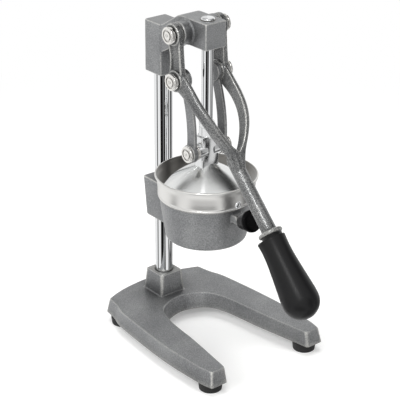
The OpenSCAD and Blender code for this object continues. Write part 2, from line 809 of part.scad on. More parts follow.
module lever_arms() {
    upper = smooth([for (s = arm_side_shares) [s[0], s[1] + s[2]] * lever_chord], corner_steps);
    lower = smooth([for (s = arm_side_shares) [s[0], s[1] - s[2]] * lever_chord], corner_steps);
    outer = smooth([for (s = arm_outer_shares) [s[0] * lever_chord, s[1] * eye_outer]],
        corner_steps);
    inner = smooth([for (s = arm_inner_shares) [s[0] * lever_chord, s[1] * eye_outer]],
        corner_steps);
    intersection() {
        on_chord()
            rotate([90, 0, 0])
                translate([0, 0, -eye_outer])
                    linear_extrude(2 * eye_outer)
                        polygon(concat([[0, 0]], upper, reversed(lower)));
        on_chord()
            translate([0, 0, -lever_chord / 4])
                linear_extrude(lever_chord / 2)
                    difference() {
                        polygon(concat(outer, [for (p = reversed(outer)) [p[0], -p[1]]]));
                        polygon(concat(inner, [for (p = reversed(inner)) [p[0], -p[1]]]));
                    }
    }
}

// Side outline of the short bar between the two eyes, in reach and height
module bar_outline(inset) {
    half = eye_radius * 0.9 - inset;
    waist = eye_radius * 0.74 - inset;
    middle = [(pivot_reach + crank_reach) / 2 + eye_radius * 0.14,
        (pivot_height + crank_height) / 2];
    polygon(concat(
        smooth([[pivot_reach - half, pivot_height], [middle[0] - waist, middle[1]],
            [crank_reach - half, crank_height]], corner_steps),
        reversed(smooth([[pivot_reach + half, pivot_height], [middle[0] + waist, middle[1]],
            [crank_reach + half, crank_height]], corner_steps))));
}

module lever_bar() {
    inner = eye_inner + bar_recess / 2;
    outer = eye_outer - bar_inset;
    difference() {
        side_plate(-outer, -inner)
            bar_outline(0);
        difference() {
            side_plate(-outer - overrun, -outer + bar_recess)
                bar_outline(bar_rim);
            for (end = [[pivot_reach, pivot_height], [crank_reach, crank_height]])
                cross_bar(-outer - 2 * overrun, -inner, end[0], end[1], eye_radius);
        }
    }
    cross_bar(-eye_outer, -eye_inner, pivot_reach, pivot_height, eye_radius);
    cross_bar(-eye_outer, -crank_eye_inner, crank_reach, crank_height, eye_radius);
}

module lever() {
    root_distance = lever_chord * shaft_root_share;
    color("#8c8e90")
    difference() {
        union() {
            lever_arms();
            for (side = [0, 1])
                mirror([side, 0, 0])
                    lever_bar();
            on_shaft() {
                translate([0, 0, -root_distance]) {
                    cylinder(h = root_distance, r1 = shaft_root_radius, r2 = shaft_radius);
                    sphere(r = shaft_root_radius);
                }
                translate([0, 0, -collar_thickness / 2])
                    rotate_extrude()
                        polygon(rounded([[0, 0], [collar_radius, 0],
                            [collar_radius, collar_thickness], [0, collar_thickness]],
                            [0, collar_thickness * 0.45, collar_thickness * 0.45, 0],
                            corner_steps));
            }
        }
        for (side = [0, 1])
            mirror([side, 0, 0])
                for (end = [[pivot_reach, pivot_height], [crank_reach, crank_height]])
                    cross_bar(-eye_outer - overrun, -crank_eye_inner + overrun, end[0], end[1],
                        pin_radius + running_clearance);
        on_shaft()
            translate([0, 0, -grip_stud_length / 3])
                cylinder(h = grip_stud_length, r = grip_stud_radius + fit);
    }
}

// Grip: fatter below than above the shaft that it sits on
grip_stud_radius = 4;
grip_stud_length = 75;
grip_neck_end_radius = 13;

// Turns what follows to stand along the grip, with the grip's upper end at zero
module on_grip() {
    translate([0, column_y - grip_reach, grip_height])
        rotate([90 + grip_drop, 0, 0])
            children();
}

module grip() {
    neck = grip_neck_radius;
    ball = grip_length - grip_end_radius;
    collar_gap = norm([grip_ahead, grip_below]);
    side = [[grip_flare_radius, 0], [neck + (grip_flare_radius - neck) * 0.35, ball * 0.07],
        [neck, ball * 0.18], [neck + (grip_end_radius - neck) * 0.12, ball * 0.36],
        [neck + (grip_end_radius - neck) * 0.5, ball * 0.62],
        [neck + (grip_end_radius - neck) * 0.92, ball * 0.88], [grip_end_radius, ball]];
    color("#1d1d1e")
    difference() {
        union() {
            on_grip()
                rotate_extrude()
                    polygon(concat([[0, 0]], smooth(side, corner_steps),
                        [for (k = [1 : 3 * curve_steps]) let (a = 90 * k / (3 * curve_steps))
                            [grip_end_radius * cos(a), ball + grip_end_radius * sin(a)]]));
            on_shaft()
                translate([0, 0, collar_thickness / 2 + fit])
                    cylinder(h = 2 * collar_gap, r = grip_neck_end_radius);
        }
        on_shaft()
            translate([0, 0, collar_thickness / 2])
                cylinder(h = grip_stud_length * 2 / 3, r = grip_stud_radius + fit);
    }
}

module grip_stud() {
    color("#9a9c9e")
    on_shaft()
        translate([0, 0, -grip_stud_length / 3])
            cylinder(h = grip_stud_length, r = grip_stud_radius);
}

// Links: bowed flat bars between the lever and the crosshead
function link_middle(t) =
    [crank_reach + (rod_reach - crank_reach) * t + link_bow * 4 * t * (1 - t),
        crank_height + (crosshead_pivot_height - crank_height) * t];

module link_outline() {
    front = [for (k = [0 : 2 * curve_steps]) link_middle(k / (2 * curve_steps))
        + [link_width / 2, 0]];
    rear = [for (k = [0 : 2 * curve_steps]) link_middle(k / (2 * curve_steps))
        - [link_width / 2, 0]];
    polygon(concat(front, reversed(rear)));
}

module link_left() {
    color("#898b8d")
    difference() {
        union() {
            side_plate(-link_outer, -link_inner)
                link_outline();
            cross_bar(-link_outer, -link_eye_inner, crank_reach, crank_height, link_upper_radius);
            cross_bar(-link_outer - link_boss_height, -link_inner, rod_reach,
                crosshead_pivot_height, link_lower_radius);
        }
        cross_bar(-eye_outer, -link_eye_inner - link_wall, crank_reach, crank_height,
            pin_radius + fit);
        cross_bar(-eye_outer, -link_inner + overrun, rod_reach, crosshead_pivot_height,
            pin_radius + fit);
    }
}

module link_right() {
    mirror([1, 0, 0])
        link_left();
}

// Pins screwed in the upper eyes of the links, on which the lever's lower eyes turn
module link_pin_left() {
    outer = eye_outer + side_gap + pin_washer_thickness + pin_head_thickness;
    color("#dfe1e3")
    union() {
        pin_disc(outer, pin_head_thickness, crank_reach, crank_height);
        cross_bar(-outer + pin_head_thickness / 2, -link_eye_inner - link_wall - fit,
            crank_reach, crank_height, pin_radius);
    }
}

module link_pin_right() {
    mirror([1, 0, 0])
        link_pin_left();
}

module link_washers() {
    for (side = [0, 1])
        mirror([side, 0, 0])
            pin_washer(eye_outer + side_gap + pin_washer_thickness, pin_washer_thickness,
                crank_reach, crank_height, pin_washer_radius);
}

// Outer part of the crosshead pins, which stays with the links
module crosshead_pin_left() {
    outer = link_outer + link_boss_height + pin_head_thickness;
    color("#dfe1e3")
    union() {
        pin_disc(outer, pin_head_thickness, rod_reach, crosshead_pivot_height);
        cross_bar(-outer + pin_head_thickness / 2, -link_inner - fit, rod_reach,
            crosshead_pivot_height, pin_radius);
    }
}

module crosshead_pin_right() {
    mirror([1, 0, 0])
        crosshead_pin_left();
}

// Plunger: rod, cap, jam nut, crosshead and press cone on one axis
rod_bottom = crosshead_pivot_height - pin_radius - rod_radius / 2;
rod_top = head_top + seat_gap;
crosshead_boss_height = 4;
crosshead_boss_radius = 9.6;
crosshead_bottom = cone_rim_height + cone_rise * 0.81;
stud_depth = 6;
washer_radius = 10.4;
washer_stack = link_inner - side_gap - crosshead_half_width - crosshead_boss_height;
cone_screw_radius = 3;
cone_screw_length = 17;
cone_screw_head_radius = 6;
cone_screw_head_height = 3;
cone_hub_radius = 18.5;
cone_hub_depth = 7;
cone_hub_bottom = crosshead_bottom - cone_hub_depth;

module plunger_rod() {
    color("#e4e6e8")
    translate([0, column_y - rod_reach, rod_bottom])
        cylinder(h = rod_top - rod_bottom, r = rod_radius);
}

module rod_cap() {
    flat = rod_cap_height * 0.35;
    color("#e4e6e8")
    translate([0, column_y - rod_reach, rod_top])
        rotate_extrude()
            polygon(concat([[0, 0], [rod_cap_radius, 0]],
                [for (k = [0 : curve_steps]) let (a = 90 * k / curve_steps)
                    [rod_cap_radius * cos(a), flat + (rod_cap_height - flat) * sin(a)]]));
}

module jam_nut() {
    color("#d2d4d6")
    translate([0, column_y - rod_reach, crosshead_top + neck_height])
        difference() {
            cylinder(h = jam_nut_height, r = neck_radius * 1.1, $fn = 6);
            translate([0, 0, -overrun])
                cylinder(h = jam_nut_height + 2 * overrun, r = rod_radius + fit);
        }
}

module crosshead() {
    color("#d6d8da")
    difference() {
        union() {
            translate([0, column_y - rod_reach, crosshead_bottom])
                linear_extrude(crosshead_top - crosshead_bottom)
                    polygon(rounded(box_outline(crosshead_half_width, -crosshead_half_depth,
                        crosshead_half_depth), [for (i = [0 : 3]) crosshead_half_depth / 5],
                        corner_steps));
            translate([0, column_y - rod_reach, crosshead_pivot_height])
                cylinder(h = crosshead_top + neck_height - crosshead_pivot_height,
                    r = neck_radius);
            cross_bar(-crosshead_half_width - crosshead_boss_height,
                crosshead_half_width + crosshead_boss_height, rod_reach,
                crosshead_pivot_height, crosshead_boss_radius);
        }
        translate([0, column_y - rod_reach, rod_bottom - fit])
            cylinder(h = head_top, r = rod_radius + fit);
        translate([0, column_y - rod_reach, crosshead_bottom - overrun])
            cylinder(h = cone_screw_length, r = cone_screw_radius + fit);
        for (side = [0, 1])
            mirror([side, 0, 0])
                cross_bar(-link_inner, stud_depth - crosshead_half_width + fit, rod_reach,
                    crosshead_pivot_height, pin_radius + fit);
    }
}

// Inner part of the crosshead pins, screwed in the crosshead
module crosshead_studs() {
    inner = crosshead_half_width - stud_depth;
    outer = crosshead_half_width + crosshead_boss_height + washer_stack;
    color("#c4c7ca")
    for (side = [0, 1])
        mirror([side, 0, 0])
            cross_bar(-outer, -inner, rod_reach, crosshead_pivot_height, pin_radius);
}

module crosshead_washers() {
    inner = crosshead_half_width + crosshead_boss_height;
    thickness = washer_stack / 2;
    for (side = [0, 1])
        mirror([side, 0, 0])
            for (i = [1, 2])
                pin_washer(inner + i * thickness, thickness - fit, rod_reach,
                    crosshead_pivot_height, washer_radius);
}

module press_cone() {
    peak = cone_rim_height + cone_rise;
    outside = smooth([for (s = reversed(cone_shares))
        [s[0] * cone_radius, peak - s[1] * cone_rise]], corner_steps);
    inner_rise = (cone_rise - cone_wall) / cone_rise;
    inner_run = (cone_radius - cone_wall) / cone_radius;
    color("#e0e2e4")
    translate([0, column_y - rod_reach, 0])
        difference() {
            union() {
                rotate_extrude($fn = 96)
                    polygon(concat(outside, [for (p = reversed(outside))
                        [p[0] * inner_run, cone_rim_height + (p[1] - cone_rim_height) * inner_rise]]));
                intersection() {
                    translate([0, 0, cone_hub_bottom])
                        cylinder(h = cone_rise, r = cone_hub_radius);
                    rotate_extrude($fn = 96)
                        polygon(concat([[0, cone_rim_height]], outside));
                }
            }
            translate([0, 0, crosshead_bottom])
                linear_extrude(cone_rise)
                    polygon(rounded(box_outline(crosshead_half_width + fit,
                        -crosshead_half_depth - fit, crosshead_half_depth + fit),
                        [for (i = [0 : 3]) crosshead_half_depth / 5], corner_steps));
            translate([0, 0, cone_hub_bottom - overrun])
                cylinder(h = cone_rise, r = cone_screw_radius + fit);
            translate([0, 0, cone_hub_bottom - overrun])
                cylinder(h = cone_screw_head_height + overrun, r = cone_screw_head_radius + fit);
        }
}

module cone_screw() {
    color("#9a9c9e")
    translate([0, column_y - rod_reach, cone_hub_bottom]) {
        cylinder(h = cone_screw_head_height, r = cone_screw_head_radius);
        cylinder(h = cone_screw_length, r = cone_screw_radius);
    }
}

base();
foot(0);  // foot_front_left
foot(1);  // foot_front_right
foot(2);  // foot_rear_left
foot(3);  // foot_rear_right
foot_screws();
column();
column_bolt();
column_washer();
head();
head_set_screws();
guide_bush_upper();
guide_bush_lower();
head_pin_left();
head_pin_right();
head_washers();
cup_holder();
holder_set_screws();
knob();
knob_stud();
juice_bowl();
bowl_rivet();
strainer();
lever();
grip();
grip_stud();
link_left();
link_right();
link_pin_left();
link_pin_right();
link_washers();
crosshead_pin_left();
crosshead_pin_right();
plunger_rod();
rod_cap();
jam_nut();
crosshead();
crosshead_studs();
crosshead_washers();
press_cone();
cone_screw();
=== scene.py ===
import math
import bpy
import bmesh
from mathutils import Matrix, Vector


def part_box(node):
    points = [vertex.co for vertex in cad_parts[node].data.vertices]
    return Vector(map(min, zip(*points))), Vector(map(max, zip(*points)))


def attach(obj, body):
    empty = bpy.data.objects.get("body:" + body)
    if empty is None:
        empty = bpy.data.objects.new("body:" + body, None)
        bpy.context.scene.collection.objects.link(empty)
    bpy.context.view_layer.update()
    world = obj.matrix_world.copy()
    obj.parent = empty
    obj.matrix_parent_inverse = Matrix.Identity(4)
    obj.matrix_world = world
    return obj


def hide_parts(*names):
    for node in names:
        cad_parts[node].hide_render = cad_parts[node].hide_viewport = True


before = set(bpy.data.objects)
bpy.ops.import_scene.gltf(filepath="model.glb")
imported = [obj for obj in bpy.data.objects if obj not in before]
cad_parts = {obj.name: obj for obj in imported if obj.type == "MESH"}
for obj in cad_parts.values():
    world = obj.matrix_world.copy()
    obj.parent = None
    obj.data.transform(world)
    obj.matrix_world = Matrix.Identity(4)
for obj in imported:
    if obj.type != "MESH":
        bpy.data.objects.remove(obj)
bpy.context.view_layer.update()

mm = 0.001  # the named sizes below are millimetres, and the meshes are metres


# Places taken from the frame

def nodeMiddle(node):
    low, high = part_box(node)
    return (low + high) / 2


columnY = nodeMiddle("column").y
rodY = nodeMiddle("plunger_rod").y
rodReach = (columnY - rodY) / mm


def at(x, reach, height):  # millimetres across, forward of the column axis and over the ground
    return Vector((x * mm, columnY - reach * mm, height * mm))


pivots = {"head": (66.5, 411.8), "link": (71.7, 354.7), "crosshead": (rodReach, 262.8)}  # reach and height


# Camera, at the angle of the photograph: azimuth and pitch in degrees, roll in radians, distance in metres

camera = {
    "aim": at(-27.4, 108.6, 208.6),
    "distance": 1.76056,
    "azimuth": -39.17,
    "pitch": 24.63,
    "roll": 0.007,
    "lens": 129.03,
    "sensor": 36.0,
    "clip": (0.05, 20),
}


def addObject(name, data):
    item = bpy.data.objects.new(name, data)
    bpy.context.scene.collection.objects.link(item)
    return item


def makeCamera(spec):
    turn = math.radians(spec["azimuth"])
    rise = math.radians(spec["pitch"])
    back = Vector((math.sin(turn) * math.cos(rise), -math.cos(turn) * math.cos(rise), math.sin(rise)))
    side = Vector((math.cos(turn), math.sin(turn), 0))
    up = back.cross(side)
    c, s = math.cos(spec["roll"]), math.sin(spec["roll"])
    right = side * c + up * s
    top = up * c - side * s
    data = bpy.data.cameras.new("camera")
    data.lens = spec["lens"]
    data.sensor_width = spec["sensor"]
    data.clip_start, data.clip_end = spec["clip"]
    item = addObject("camera", data)
    place = spec["aim"] + back * spec["distance"]
    item.matrix_world = Matrix([[right.x, top.x, back.x, place.x], [right.y, top.y, back.y, place.y],
                                [right.z, top.z, back.z, place.z], [0, 0, 0, 1]])
    bpy.context.scene.camera = item


makeCamera(camera)
print("camera ready")


# Nodes and colours

def linearColour(code):  # sRGB hex to linear, with full alpha
    parts = [int(code[i:i + 2], 16) / 255 for i in (1, 3, 5)]
    return [c / 12.92 if c <= 0.04045 else ((c + 0.055) / 1.055) ** 2.4 for c in parts] + [1.0]


def addNode(tree, kind, settings=None, links=None):  # "in:" and whole numbers name sockets, the rest properties
    node = tree.nodes.new(kind)
    for key, value in (settings or {}).items():
        if isinstance(key, int) or key.startswith("in:"):
            node.inputs[key if isinstance(key, int) else key[3:]].default_value = value
        else:
            setattr(node, key, value)
    for key, source in (links or {}).items():
        tree.links.new(source, node.inputs[key])
    return node


def newMaterial(name):
    material = bpy.data.materials.new(name)
    material.use_nodes = True
    material.node_tree.nodes.clear()
    return material, material.node_tree


def setRamp(node, stops):  # (place, hex or grey level)
    ramp, stops = node.color_ramp, list(stops)
    while len(ramp.elements) < len(stops):
        ramp.elements.new(1.0)
    for element, (place, value) in zip(ramp.elements, stops):
        element.position = place
        element.color = linearColour(value) if isinstance(value, str) else (value, value, value, 1)


# Hammered enamel, sprayed on sand-cast iron and left to pucker. It gives the eye a mottled silver grey of small
# rounded grains that each catch the light. Its edges are painted paler, partly as wear and partly as a painted
# highlight, and its corners and recesses are darkened with painted shade. The real grains are about a millimetre,
# and the finest are drawn a little coarser to show.

hammered = {
    "dark": "#757678", "mid": "#88898a", "light": "#9a9b9b", "rubbed": "#f3f2ec", "tones": (0.38, 0.5, 0.62),
    "grain": 1.4, "speck": 0.8, "cloud": 38, "cloudShare": 0.3, "grainHeight": 0.16, "speckHeight": 0.06,
    "metallic": 0.68, "roughness": 0.36, "smoother": 0.07, "rougher": 0.1,
    "wornFrom": 0.508, "wornTo": 0.538, "recess": 0.15, "recessFrom": 0.3, "recessReach": 40,
}

# The same enamel laid on thick over the lever: darker, glossier and more deeply hammered

thickHammered = {
    **hammered, "dark": "#5b5c5d", "mid": "#747575", "light": "#939392", "rubbed": "#f4f3ee",
    "grain": 1.5, "speck": 0.9, "grainHeight": 0.26, "speckHeight": 0.08,
    "metallic": 0.74, "roughness": 0.27, "wornFrom": 0.506, "wornTo": 0.535, "recess": 0.2, "recessReach": 26,
}


def hammeredIron(name, spec):
    material, tree = newMaterial(name)
    place = addNode(tree, "ShaderNodeTexCoord")
    grain = addNode(tree, "ShaderNodeTexNoise", {"in:Scale": 1 / (spec["grain"] * mm), "in:Detail": 2.0,
        "in:Roughness": 0.55}, {"Vector": place.outputs["Object"]})
    speck = addNode(tree, "ShaderNodeTexVoronoi", {"in:Scale": 1 / (spec["speck"] * mm)},
        {"Vector": place.outputs["Object"]})
    cloud = addNode(tree, "ShaderNodeTexNoise", {"in:Scale": 1 / (spec["cloud"] * mm), "in:Detail": 3.0},
        {"Vector": place.outputs["Object"]})
    tone = addNode(tree, "ShaderNodeMix", {"data_type": "FLOAT", 0: spec["cloudShare"]},
        {2: grain.outputs["Fac"], 3: cloud.outputs["Fac"]})
    ramp = addNode(tree, "ShaderNodeValToRGB", links={"Fac": tone.outputs[0]})
    setRamp(ramp, zip(spec["tones"], (spec["dark"], spec["mid"], spec["light"])))
    shape = addNode(tree, "ShaderNodeNewGeometry")
    # painted highlight, partly wear: the pointiest edges are mixed towards a near-white colour
    edge = addNode(tree, "ShaderNodeMapRange", {"in:From Min": spec["wornFrom"], "in:From Max": spec["wornTo"]},
        {"Value": shape.outputs["Pointiness"]})
    edgeWearAndHighlight = addNode(tree, "ShaderNodeMath", {"operation": "MULTIPLY"},
        {0: edge.outputs["Result"], 1: grain.outputs["Fac"]})
    colour = addNode(tree, "ShaderNodeMix", {"data_type": "RGBA", 7: linearColour(spec["rubbed"])},
        {0: edgeWearAndHighlight.outputs[0], 6: ramp.outputs["Color"]})
    # painted shade: ambient occlusion darkens the enamel's colour in corners, in recesses and near the floor
    hollow = addNode(tree, "ShaderNodeAmbientOcclusion", {"samples": 8, "in:Distance": spec["recessReach"] * mm})
    clear = addNode(tree, "ShaderNodeMapRange", {"in:From Min": spec["recessFrom"], "in:To Min": spec["recess"]},
        {"Value": hollow.outputs["AO"]})
    coat = addNode(tree, "ShaderNodeMix", {"data_type": "RGBA", "blend_type": "MULTIPLY", 0: 1.0},
        {6: colour.outputs[2], 7: clear.outputs["Result"]})
    gloss = addNode(tree, "ShaderNodeMapRange", {"in:To Min": spec["roughness"] - spec["smoother"],
        "in:To Max": spec["roughness"] + spec["rougher"]}, {"Value": grain.outputs["Fac"]})
    low = addNode(tree, "ShaderNodeBump", {"in:Strength": 0.55, "in:Distance": spec["speckHeight"] * mm},
        {"Height": speck.outputs["Distance"]})
    bump = addNode(tree, "ShaderNodeBump", {"in:Strength": 0.8, "in:Distance": spec["grainHeight"] * mm},
        {"Height": grain.outputs["Fac"], "Normal": low.outputs["Normal"]})
    shader = addNode(tree, "ShaderNodeBsdfPrincipled", {"in:Metallic": spec["metallic"]},
        {"Base Color": coat.outputs[2], "Roughness": gloss.outputs["Result"], "Normal": bump.outputs["Normal"]})
    addNode(tree, "ShaderNodeOutputMaterial", links={"Surface": shader.outputs["BSDF"]})
    return material


# Plain and plated metals: one colour, a little unevenness of gloss over patches and, where asked, turning lines.
# Real turning lines are about 0.1 mm apart, too fine to show, so they are drawn about 0.5 mm apart.

metals = {
    # plated on ground and buffed steel: a clear mirror that draws straight stripes down the column and rod
    "polishedChrome": {"colour": "#e6e7e8", "roughness": 0.03, "spread": 0.02, "patch": 14},
    # plated after turning: a bright satin disc whose turned grooves are darkened with painted shade
    "turnedChrome": {"colour": "#eceae6", "roughness": 0.2, "spread": 0.02, "patch": 12,
        "groove": 1.6, "clearFrom": 0.58, "clearTo": 0.96, "soiled": 0.02, "grime": "#1c1b1a"},
    # plated on a fettled casting: a soft, slightly uneven mirror
    "castChrome": {"colour": "#e4e5e5", "roughness": 0.13, "spread": 0.05, "patch": 9},
    # spun sheet, brushed round: a silvery satin band, with painted shade that darkens its inside
    "spunStainlessSteel": {"colour": "#e8e7e4", "roughness": 0.3, "spread": 0.06, "patch": 20,
        "line": 0.45, "lineHeight": 0.008, "inside": "#7b7975", "insideFrom": -0.7, "insideTo": -0.1},
    # pressed sheet, left as it comes from the tool: grey with soft highlights
    "pressedStainlessSteel": {"colour": "#cfcfcb", "roughness": 0.24, "spread": 0.1, "patch": 12},
    # barrel plated: a dull bluish grey
    "zincPlatedSteel": {"colour": "#a9abad", "roughness": 0.34, "spread": 0.1, "patch": 3},
    # heated and oiled: almost black, with a low sheen
    "blackenedSteel": {"colour": "#55575a", "roughness": 0.42, "spread": 0.1, "patch": 3},
    # spun and plated: bright and dark fans that run from the peak down the flank
    "spunChrome": {"colour": "#e6e7e6", "roughness": 0.2, "spread": 0.04, "patch": 10,
        "line": 0.5, "lineHeight": 0.008, "spun": 0.95},
    # pressed powder soaked in oil: a dark, dull brown
    "sinteredBronze": {"colour": "#84745c", "roughness": 0.45, "spread": 0.1, "patch": 4,
        "line": 0.6, "lineHeight": 0.01},
}


def outwardDirection(tree, place):  # level, away from the plunger's axis
    centred = addNode(tree, "ShaderNodeMapping", {"in:Location": (0, -rodY, 0)}, {"Vector": place.outputs["Object"]})
    level = addNode(tree, "ShaderNodeVectorMath", {"operation": "MULTIPLY", 1: (1, 1, 0)},
        {0: centred.outputs["Vector"]})
    unit = addNode(tree, "ShaderNodeVectorMath", {"operation": "NORMALIZE"}, {0: level.outputs["Vector"]})
    return unit.outputs["Vector"]


def metalMaterial(name, spec):
    material, tree = newMaterial(name)
    place = addNode(tree, "ShaderNodeTexCoord")
    patch = addNode(tree, "ShaderNodeTexNoise", {"in:Scale": 1 / (spec["patch"] * mm), "in:Detail": 4.0},
        {"Vector": place.outputs["Object"]})
    gloss = addNode(tree, "ShaderNodeMapRange", {"in:To Min": spec["roughness"] - spec["spread"] / 2,
        "in:To Max": spec["roughness"] + spec["spread"]}, {"Value": patch.outputs["Fac"]})
    settings, links = {"in:Metallic": 1.0}, {"Roughness": gloss.outputs["Result"]}
    if "line" in spec:  # lines that run level round an upright axis
        stretch = addNode(tree, "ShaderNodeMapping", {"in:Scale": (0.02, 0.02, 1.0)},
            {"Vector": place.outputs["Object"]})
        line = addNode(tree, "ShaderNodeTexNoise", {"in:Scale": 1 / (spec["line"] * mm), "in:Detail": 3.0},
            {"Vector": stretch.outputs["Vector"]})
        bump = addNode(tree, "ShaderNodeBump", {"in:Strength": 0.5, "in:Distance": spec["lineHeight"] * mm},
            {"Height": line.outputs["Fac"]})
        links["Normal"] = bump.outputs["Normal"]
    if "spun" in spec:  # gloss drawn out across the turning lines, down the flank
        links["Tangent"] = outwardDirection(tree, place)
        settings["in:Anisotropic"] = spec["spun"]
    if "inside" in spec:  # painted shade: the wall that faces the axis is given a darker colour than the one outside
        facing = addNode(tree, "ShaderNodeVectorMath", {"operation": "DOT_PRODUCT"},
            {0: outwardDirection(tree, place), 1: place.outputs["Normal"]})
        outside = addNode(tree, "ShaderNodeMapRange", {"in:From Min": spec["insideFrom"],
            "in:From Max": spec["insideTo"]}, {"Value": facing.outputs["Value"]})
        wall = addNode(tree, "ShaderNodeMix", {"data_type": "RGBA", 6: linearColour(spec["inside"]),
            7: linearColour(spec["colour"])}, {0: outside.outputs["Result"]})
        links["Base Color"] = wall.outputs[2]
    elif "groove" in spec:  # painted shade that darkens the turned grooves
        hollow = addNode(tree, "ShaderNodeAmbientOcclusion", {"samples": 12, "in:Distance": spec["groove"] * mm})
        clear = addNode(tree, "ShaderNodeMapRange", {"in:From Min": spec["clearFrom"], "in:From Max": spec["clearTo"],
            "in:To Min": spec["soiled"]}, {"Value": hollow.outputs["AO"]})
        grooveShadeMix = addNode(tree, "ShaderNodeMix", {"data_type": "RGBA", 6: linearColour(spec["grime"]),
            7: linearColour(spec["colour"])}, {0: clear.outputs["Result"]})
        links["Base Color"] = grooveShadeMix.outputs[2]
    else:
        settings["in:Base Color"] = linearColour(spec["colour"])
    shader = addNode(tree, "ShaderNodeBsdfPrincipled", settings, links)
    addNode(tree, "ShaderNodeOutputMaterial", links={"Surface": shader.outputs["BSDF"]})
    return material


# Black rubber and plastics, moulded, with a faint grain that only breaks up their highlights

blacks = {
    # compression moulded: matt black that takes almost no highlight
    "mouldedRubber": {"colour": "#161616", "roughness": 0.72, "shine": 0.5, "grain": 0.7, "height": 0.03},
    # moulded and tumbled: soft, long highlights down the grip
    "satinPhenolicPlastic": {"colour": "#0e0e0f", "roughness": 0.38, "shine": 0.26, "grain": 0.9, "height": 0.012},
    # moulded in a polished tool: deep black with narrow, faint highlights
    "glossPhenolicPlastic": {"colour": "#080809", "roughness": 0.24, "shine": 0.06, "grain": 2.0, "height": 0.01},
}
glossSpread = 0.06


def blackMaterial(name, spec):
    material, tree = newMaterial(name)
    place = addNode(tree, "ShaderNodeTexCoord")
    grain = addNode(tree, "ShaderNodeTexNoise", {"in:Scale": 1 / (spec["grain"] * mm), "in:Detail": 3.0},
        {"Vector": place.outputs["Object"]})
    gloss = addNode(tree, "ShaderNodeMapRange", {"in:To Min": spec["roughness"] - glossSpread,
        "in:To Max": spec["roughness"] + glossSpread}, {"Value": grain.outputs["Fac"]})
    bump = addNode(tree, "ShaderNodeBump", {"in:Strength": 0.5, "in:Distance": spec["height"] * mm},
        {"Height": grain.outputs["Fac"]})
    shader = addNode(tree, "ShaderNodeBsdfPrincipled",
        {"in:Base Color": linearColour(spec["colour"]), "in:Specular IOR Level": spec["shine"]},
        {"Roughness": gloss.outputs["Result"], "Normal": bump.outputs["Normal"]})
    addNode(tree, "ShaderNodeOutputMaterial", links={"Surface": shader.outputs["BSDF"]})
    return material


enamels = {"hammeredEnamelOnCastIron": hammered, "thickHammeredEnamelOnCastIron": thickHammered}
materials = {key: make(key, spec) for make, group in ((hammeredIron, enamels), (metalMaterial, metals),
    (blackMaterial, blacks)) for key, spec in group.items()}
iron = materials["hammeredEnamelOnCastIron"]
chrome = materials["polishedChrome"]
print("materials ready")


# Outlines

def spline(points, steps):  # smooth curve through points
    out = []
    last = len(points) - 1
    for i in range(last):
        a, b, c, d = points[max(i - 1, 0)], points[i], points[i + 1], points[min(i + 2, last)]
        for k in range(steps):
            t = k / steps
            out.append(tuple((2 * q + (r - p) * t + (2 * p - 5 * q + 4 * r - s) * t * t
                              + (3 * q - p - 3 * r + s) * t ** 3) / 2 for p, q, r, s in zip(a, b, c, d)))
    return out + [tuple(points[-1])]


def rounded(points, radii, steps=5, closed=True):
    out = []
    count = len(points)
    for i, b in enumerate(points):
        radius = radii[i]
        if radius <= 0 or (not closed and i in (0, count - 1)):
            out.append(tuple(b))
            continue
        a, c = points[i - 1], points[(i + 1) % count]
        ends = []
        for other in (a, c):
            span = math.dist(other, b)
            reach = min(radius, span * 0.49)
            ends.append([q + (p - q) * reach / span for p, q in zip(other, b)])
        for k in range(steps + 1):
            t = k / steps
            out.append(tuple(p * (1 - t) ** 2 + q * 2 * t * (1 - t) + r * t * t
                             for p, q, r in zip(ends[0], b, ends[1])))
    return out


def inset(loop, amount):  # moves a closed outline inwards
    count = len(loop)
    area = sum(loop[i - 1][0] * loop[i][1] - loop[i][0] * loop[i - 1][1] for i in range(count))
    turn = 1 if area > 0 else -1
    out = []
    for i in range(count):
        before, here, after = loop[i - 1], loop[i], loop[(i + 1) % count]
        dx, dy = after[0] - before[0], after[1] - before[1]
        size = math.hypot(dx, dy) or 1
        out.append((here[0] - turn * dy / size * amount, here[1] + turn * dx / size * amount))
    return out


def squareLoop(halfX, halfY, power, count):  # square with round corners, about zero
    out = []
    for i in range(count):
        a = 2 * math.pi * i / count
        c, s = math.cos(a), math.sin(a)
        r = (abs(c / halfX) ** power + abs(s / halfY) ** power) ** (-1 / power)
        out.append((r * c, r * s))
    return out


def edgeRound(size, steps=4):  # (inset, distance in from the end) from the flat end to the side
    return [(size * (1 - math.sin(math.pi / 2 * k / steps)), size * (1 - math.cos(math.pi / 2 * k / steps)))
            for k in range(steps + 1)]


def lowLevels(low, edge, steps=4):  # (place, inset) of loops that round a low end
    return [(low + d, i) for i, d in edgeRound(edge, steps)]


def highLevels(high, edge, steps=4):
    return [(high - d, i) for i, d in reversed(edgeRound(edge, steps))]


def lowRim(radius, low, edge):
    return [(radius - i, place) for place, i in lowLevels(low, edge)]


def highRim(radius, high, edge):
    return [(radius - i, place) for place, i in highLevels(high, edge)]


# Solids: each gives points and faces

def skin(loops, caps=True):
    count = len(loops[0])
    points = [p for loop in loops for p in loop]
    faces = []
    for i in range(len(loops) - 1):
        for k in range(count):
            a, b = i * count + k, i * count + (k + 1) % count
            faces.append((a, b, b + count, a + count))
    if caps:
        faces.append(tuple(reversed(range(count))))
        faces.append(tuple(range((len(loops) - 1) * count, len(loops) * count)))
    return points, faces


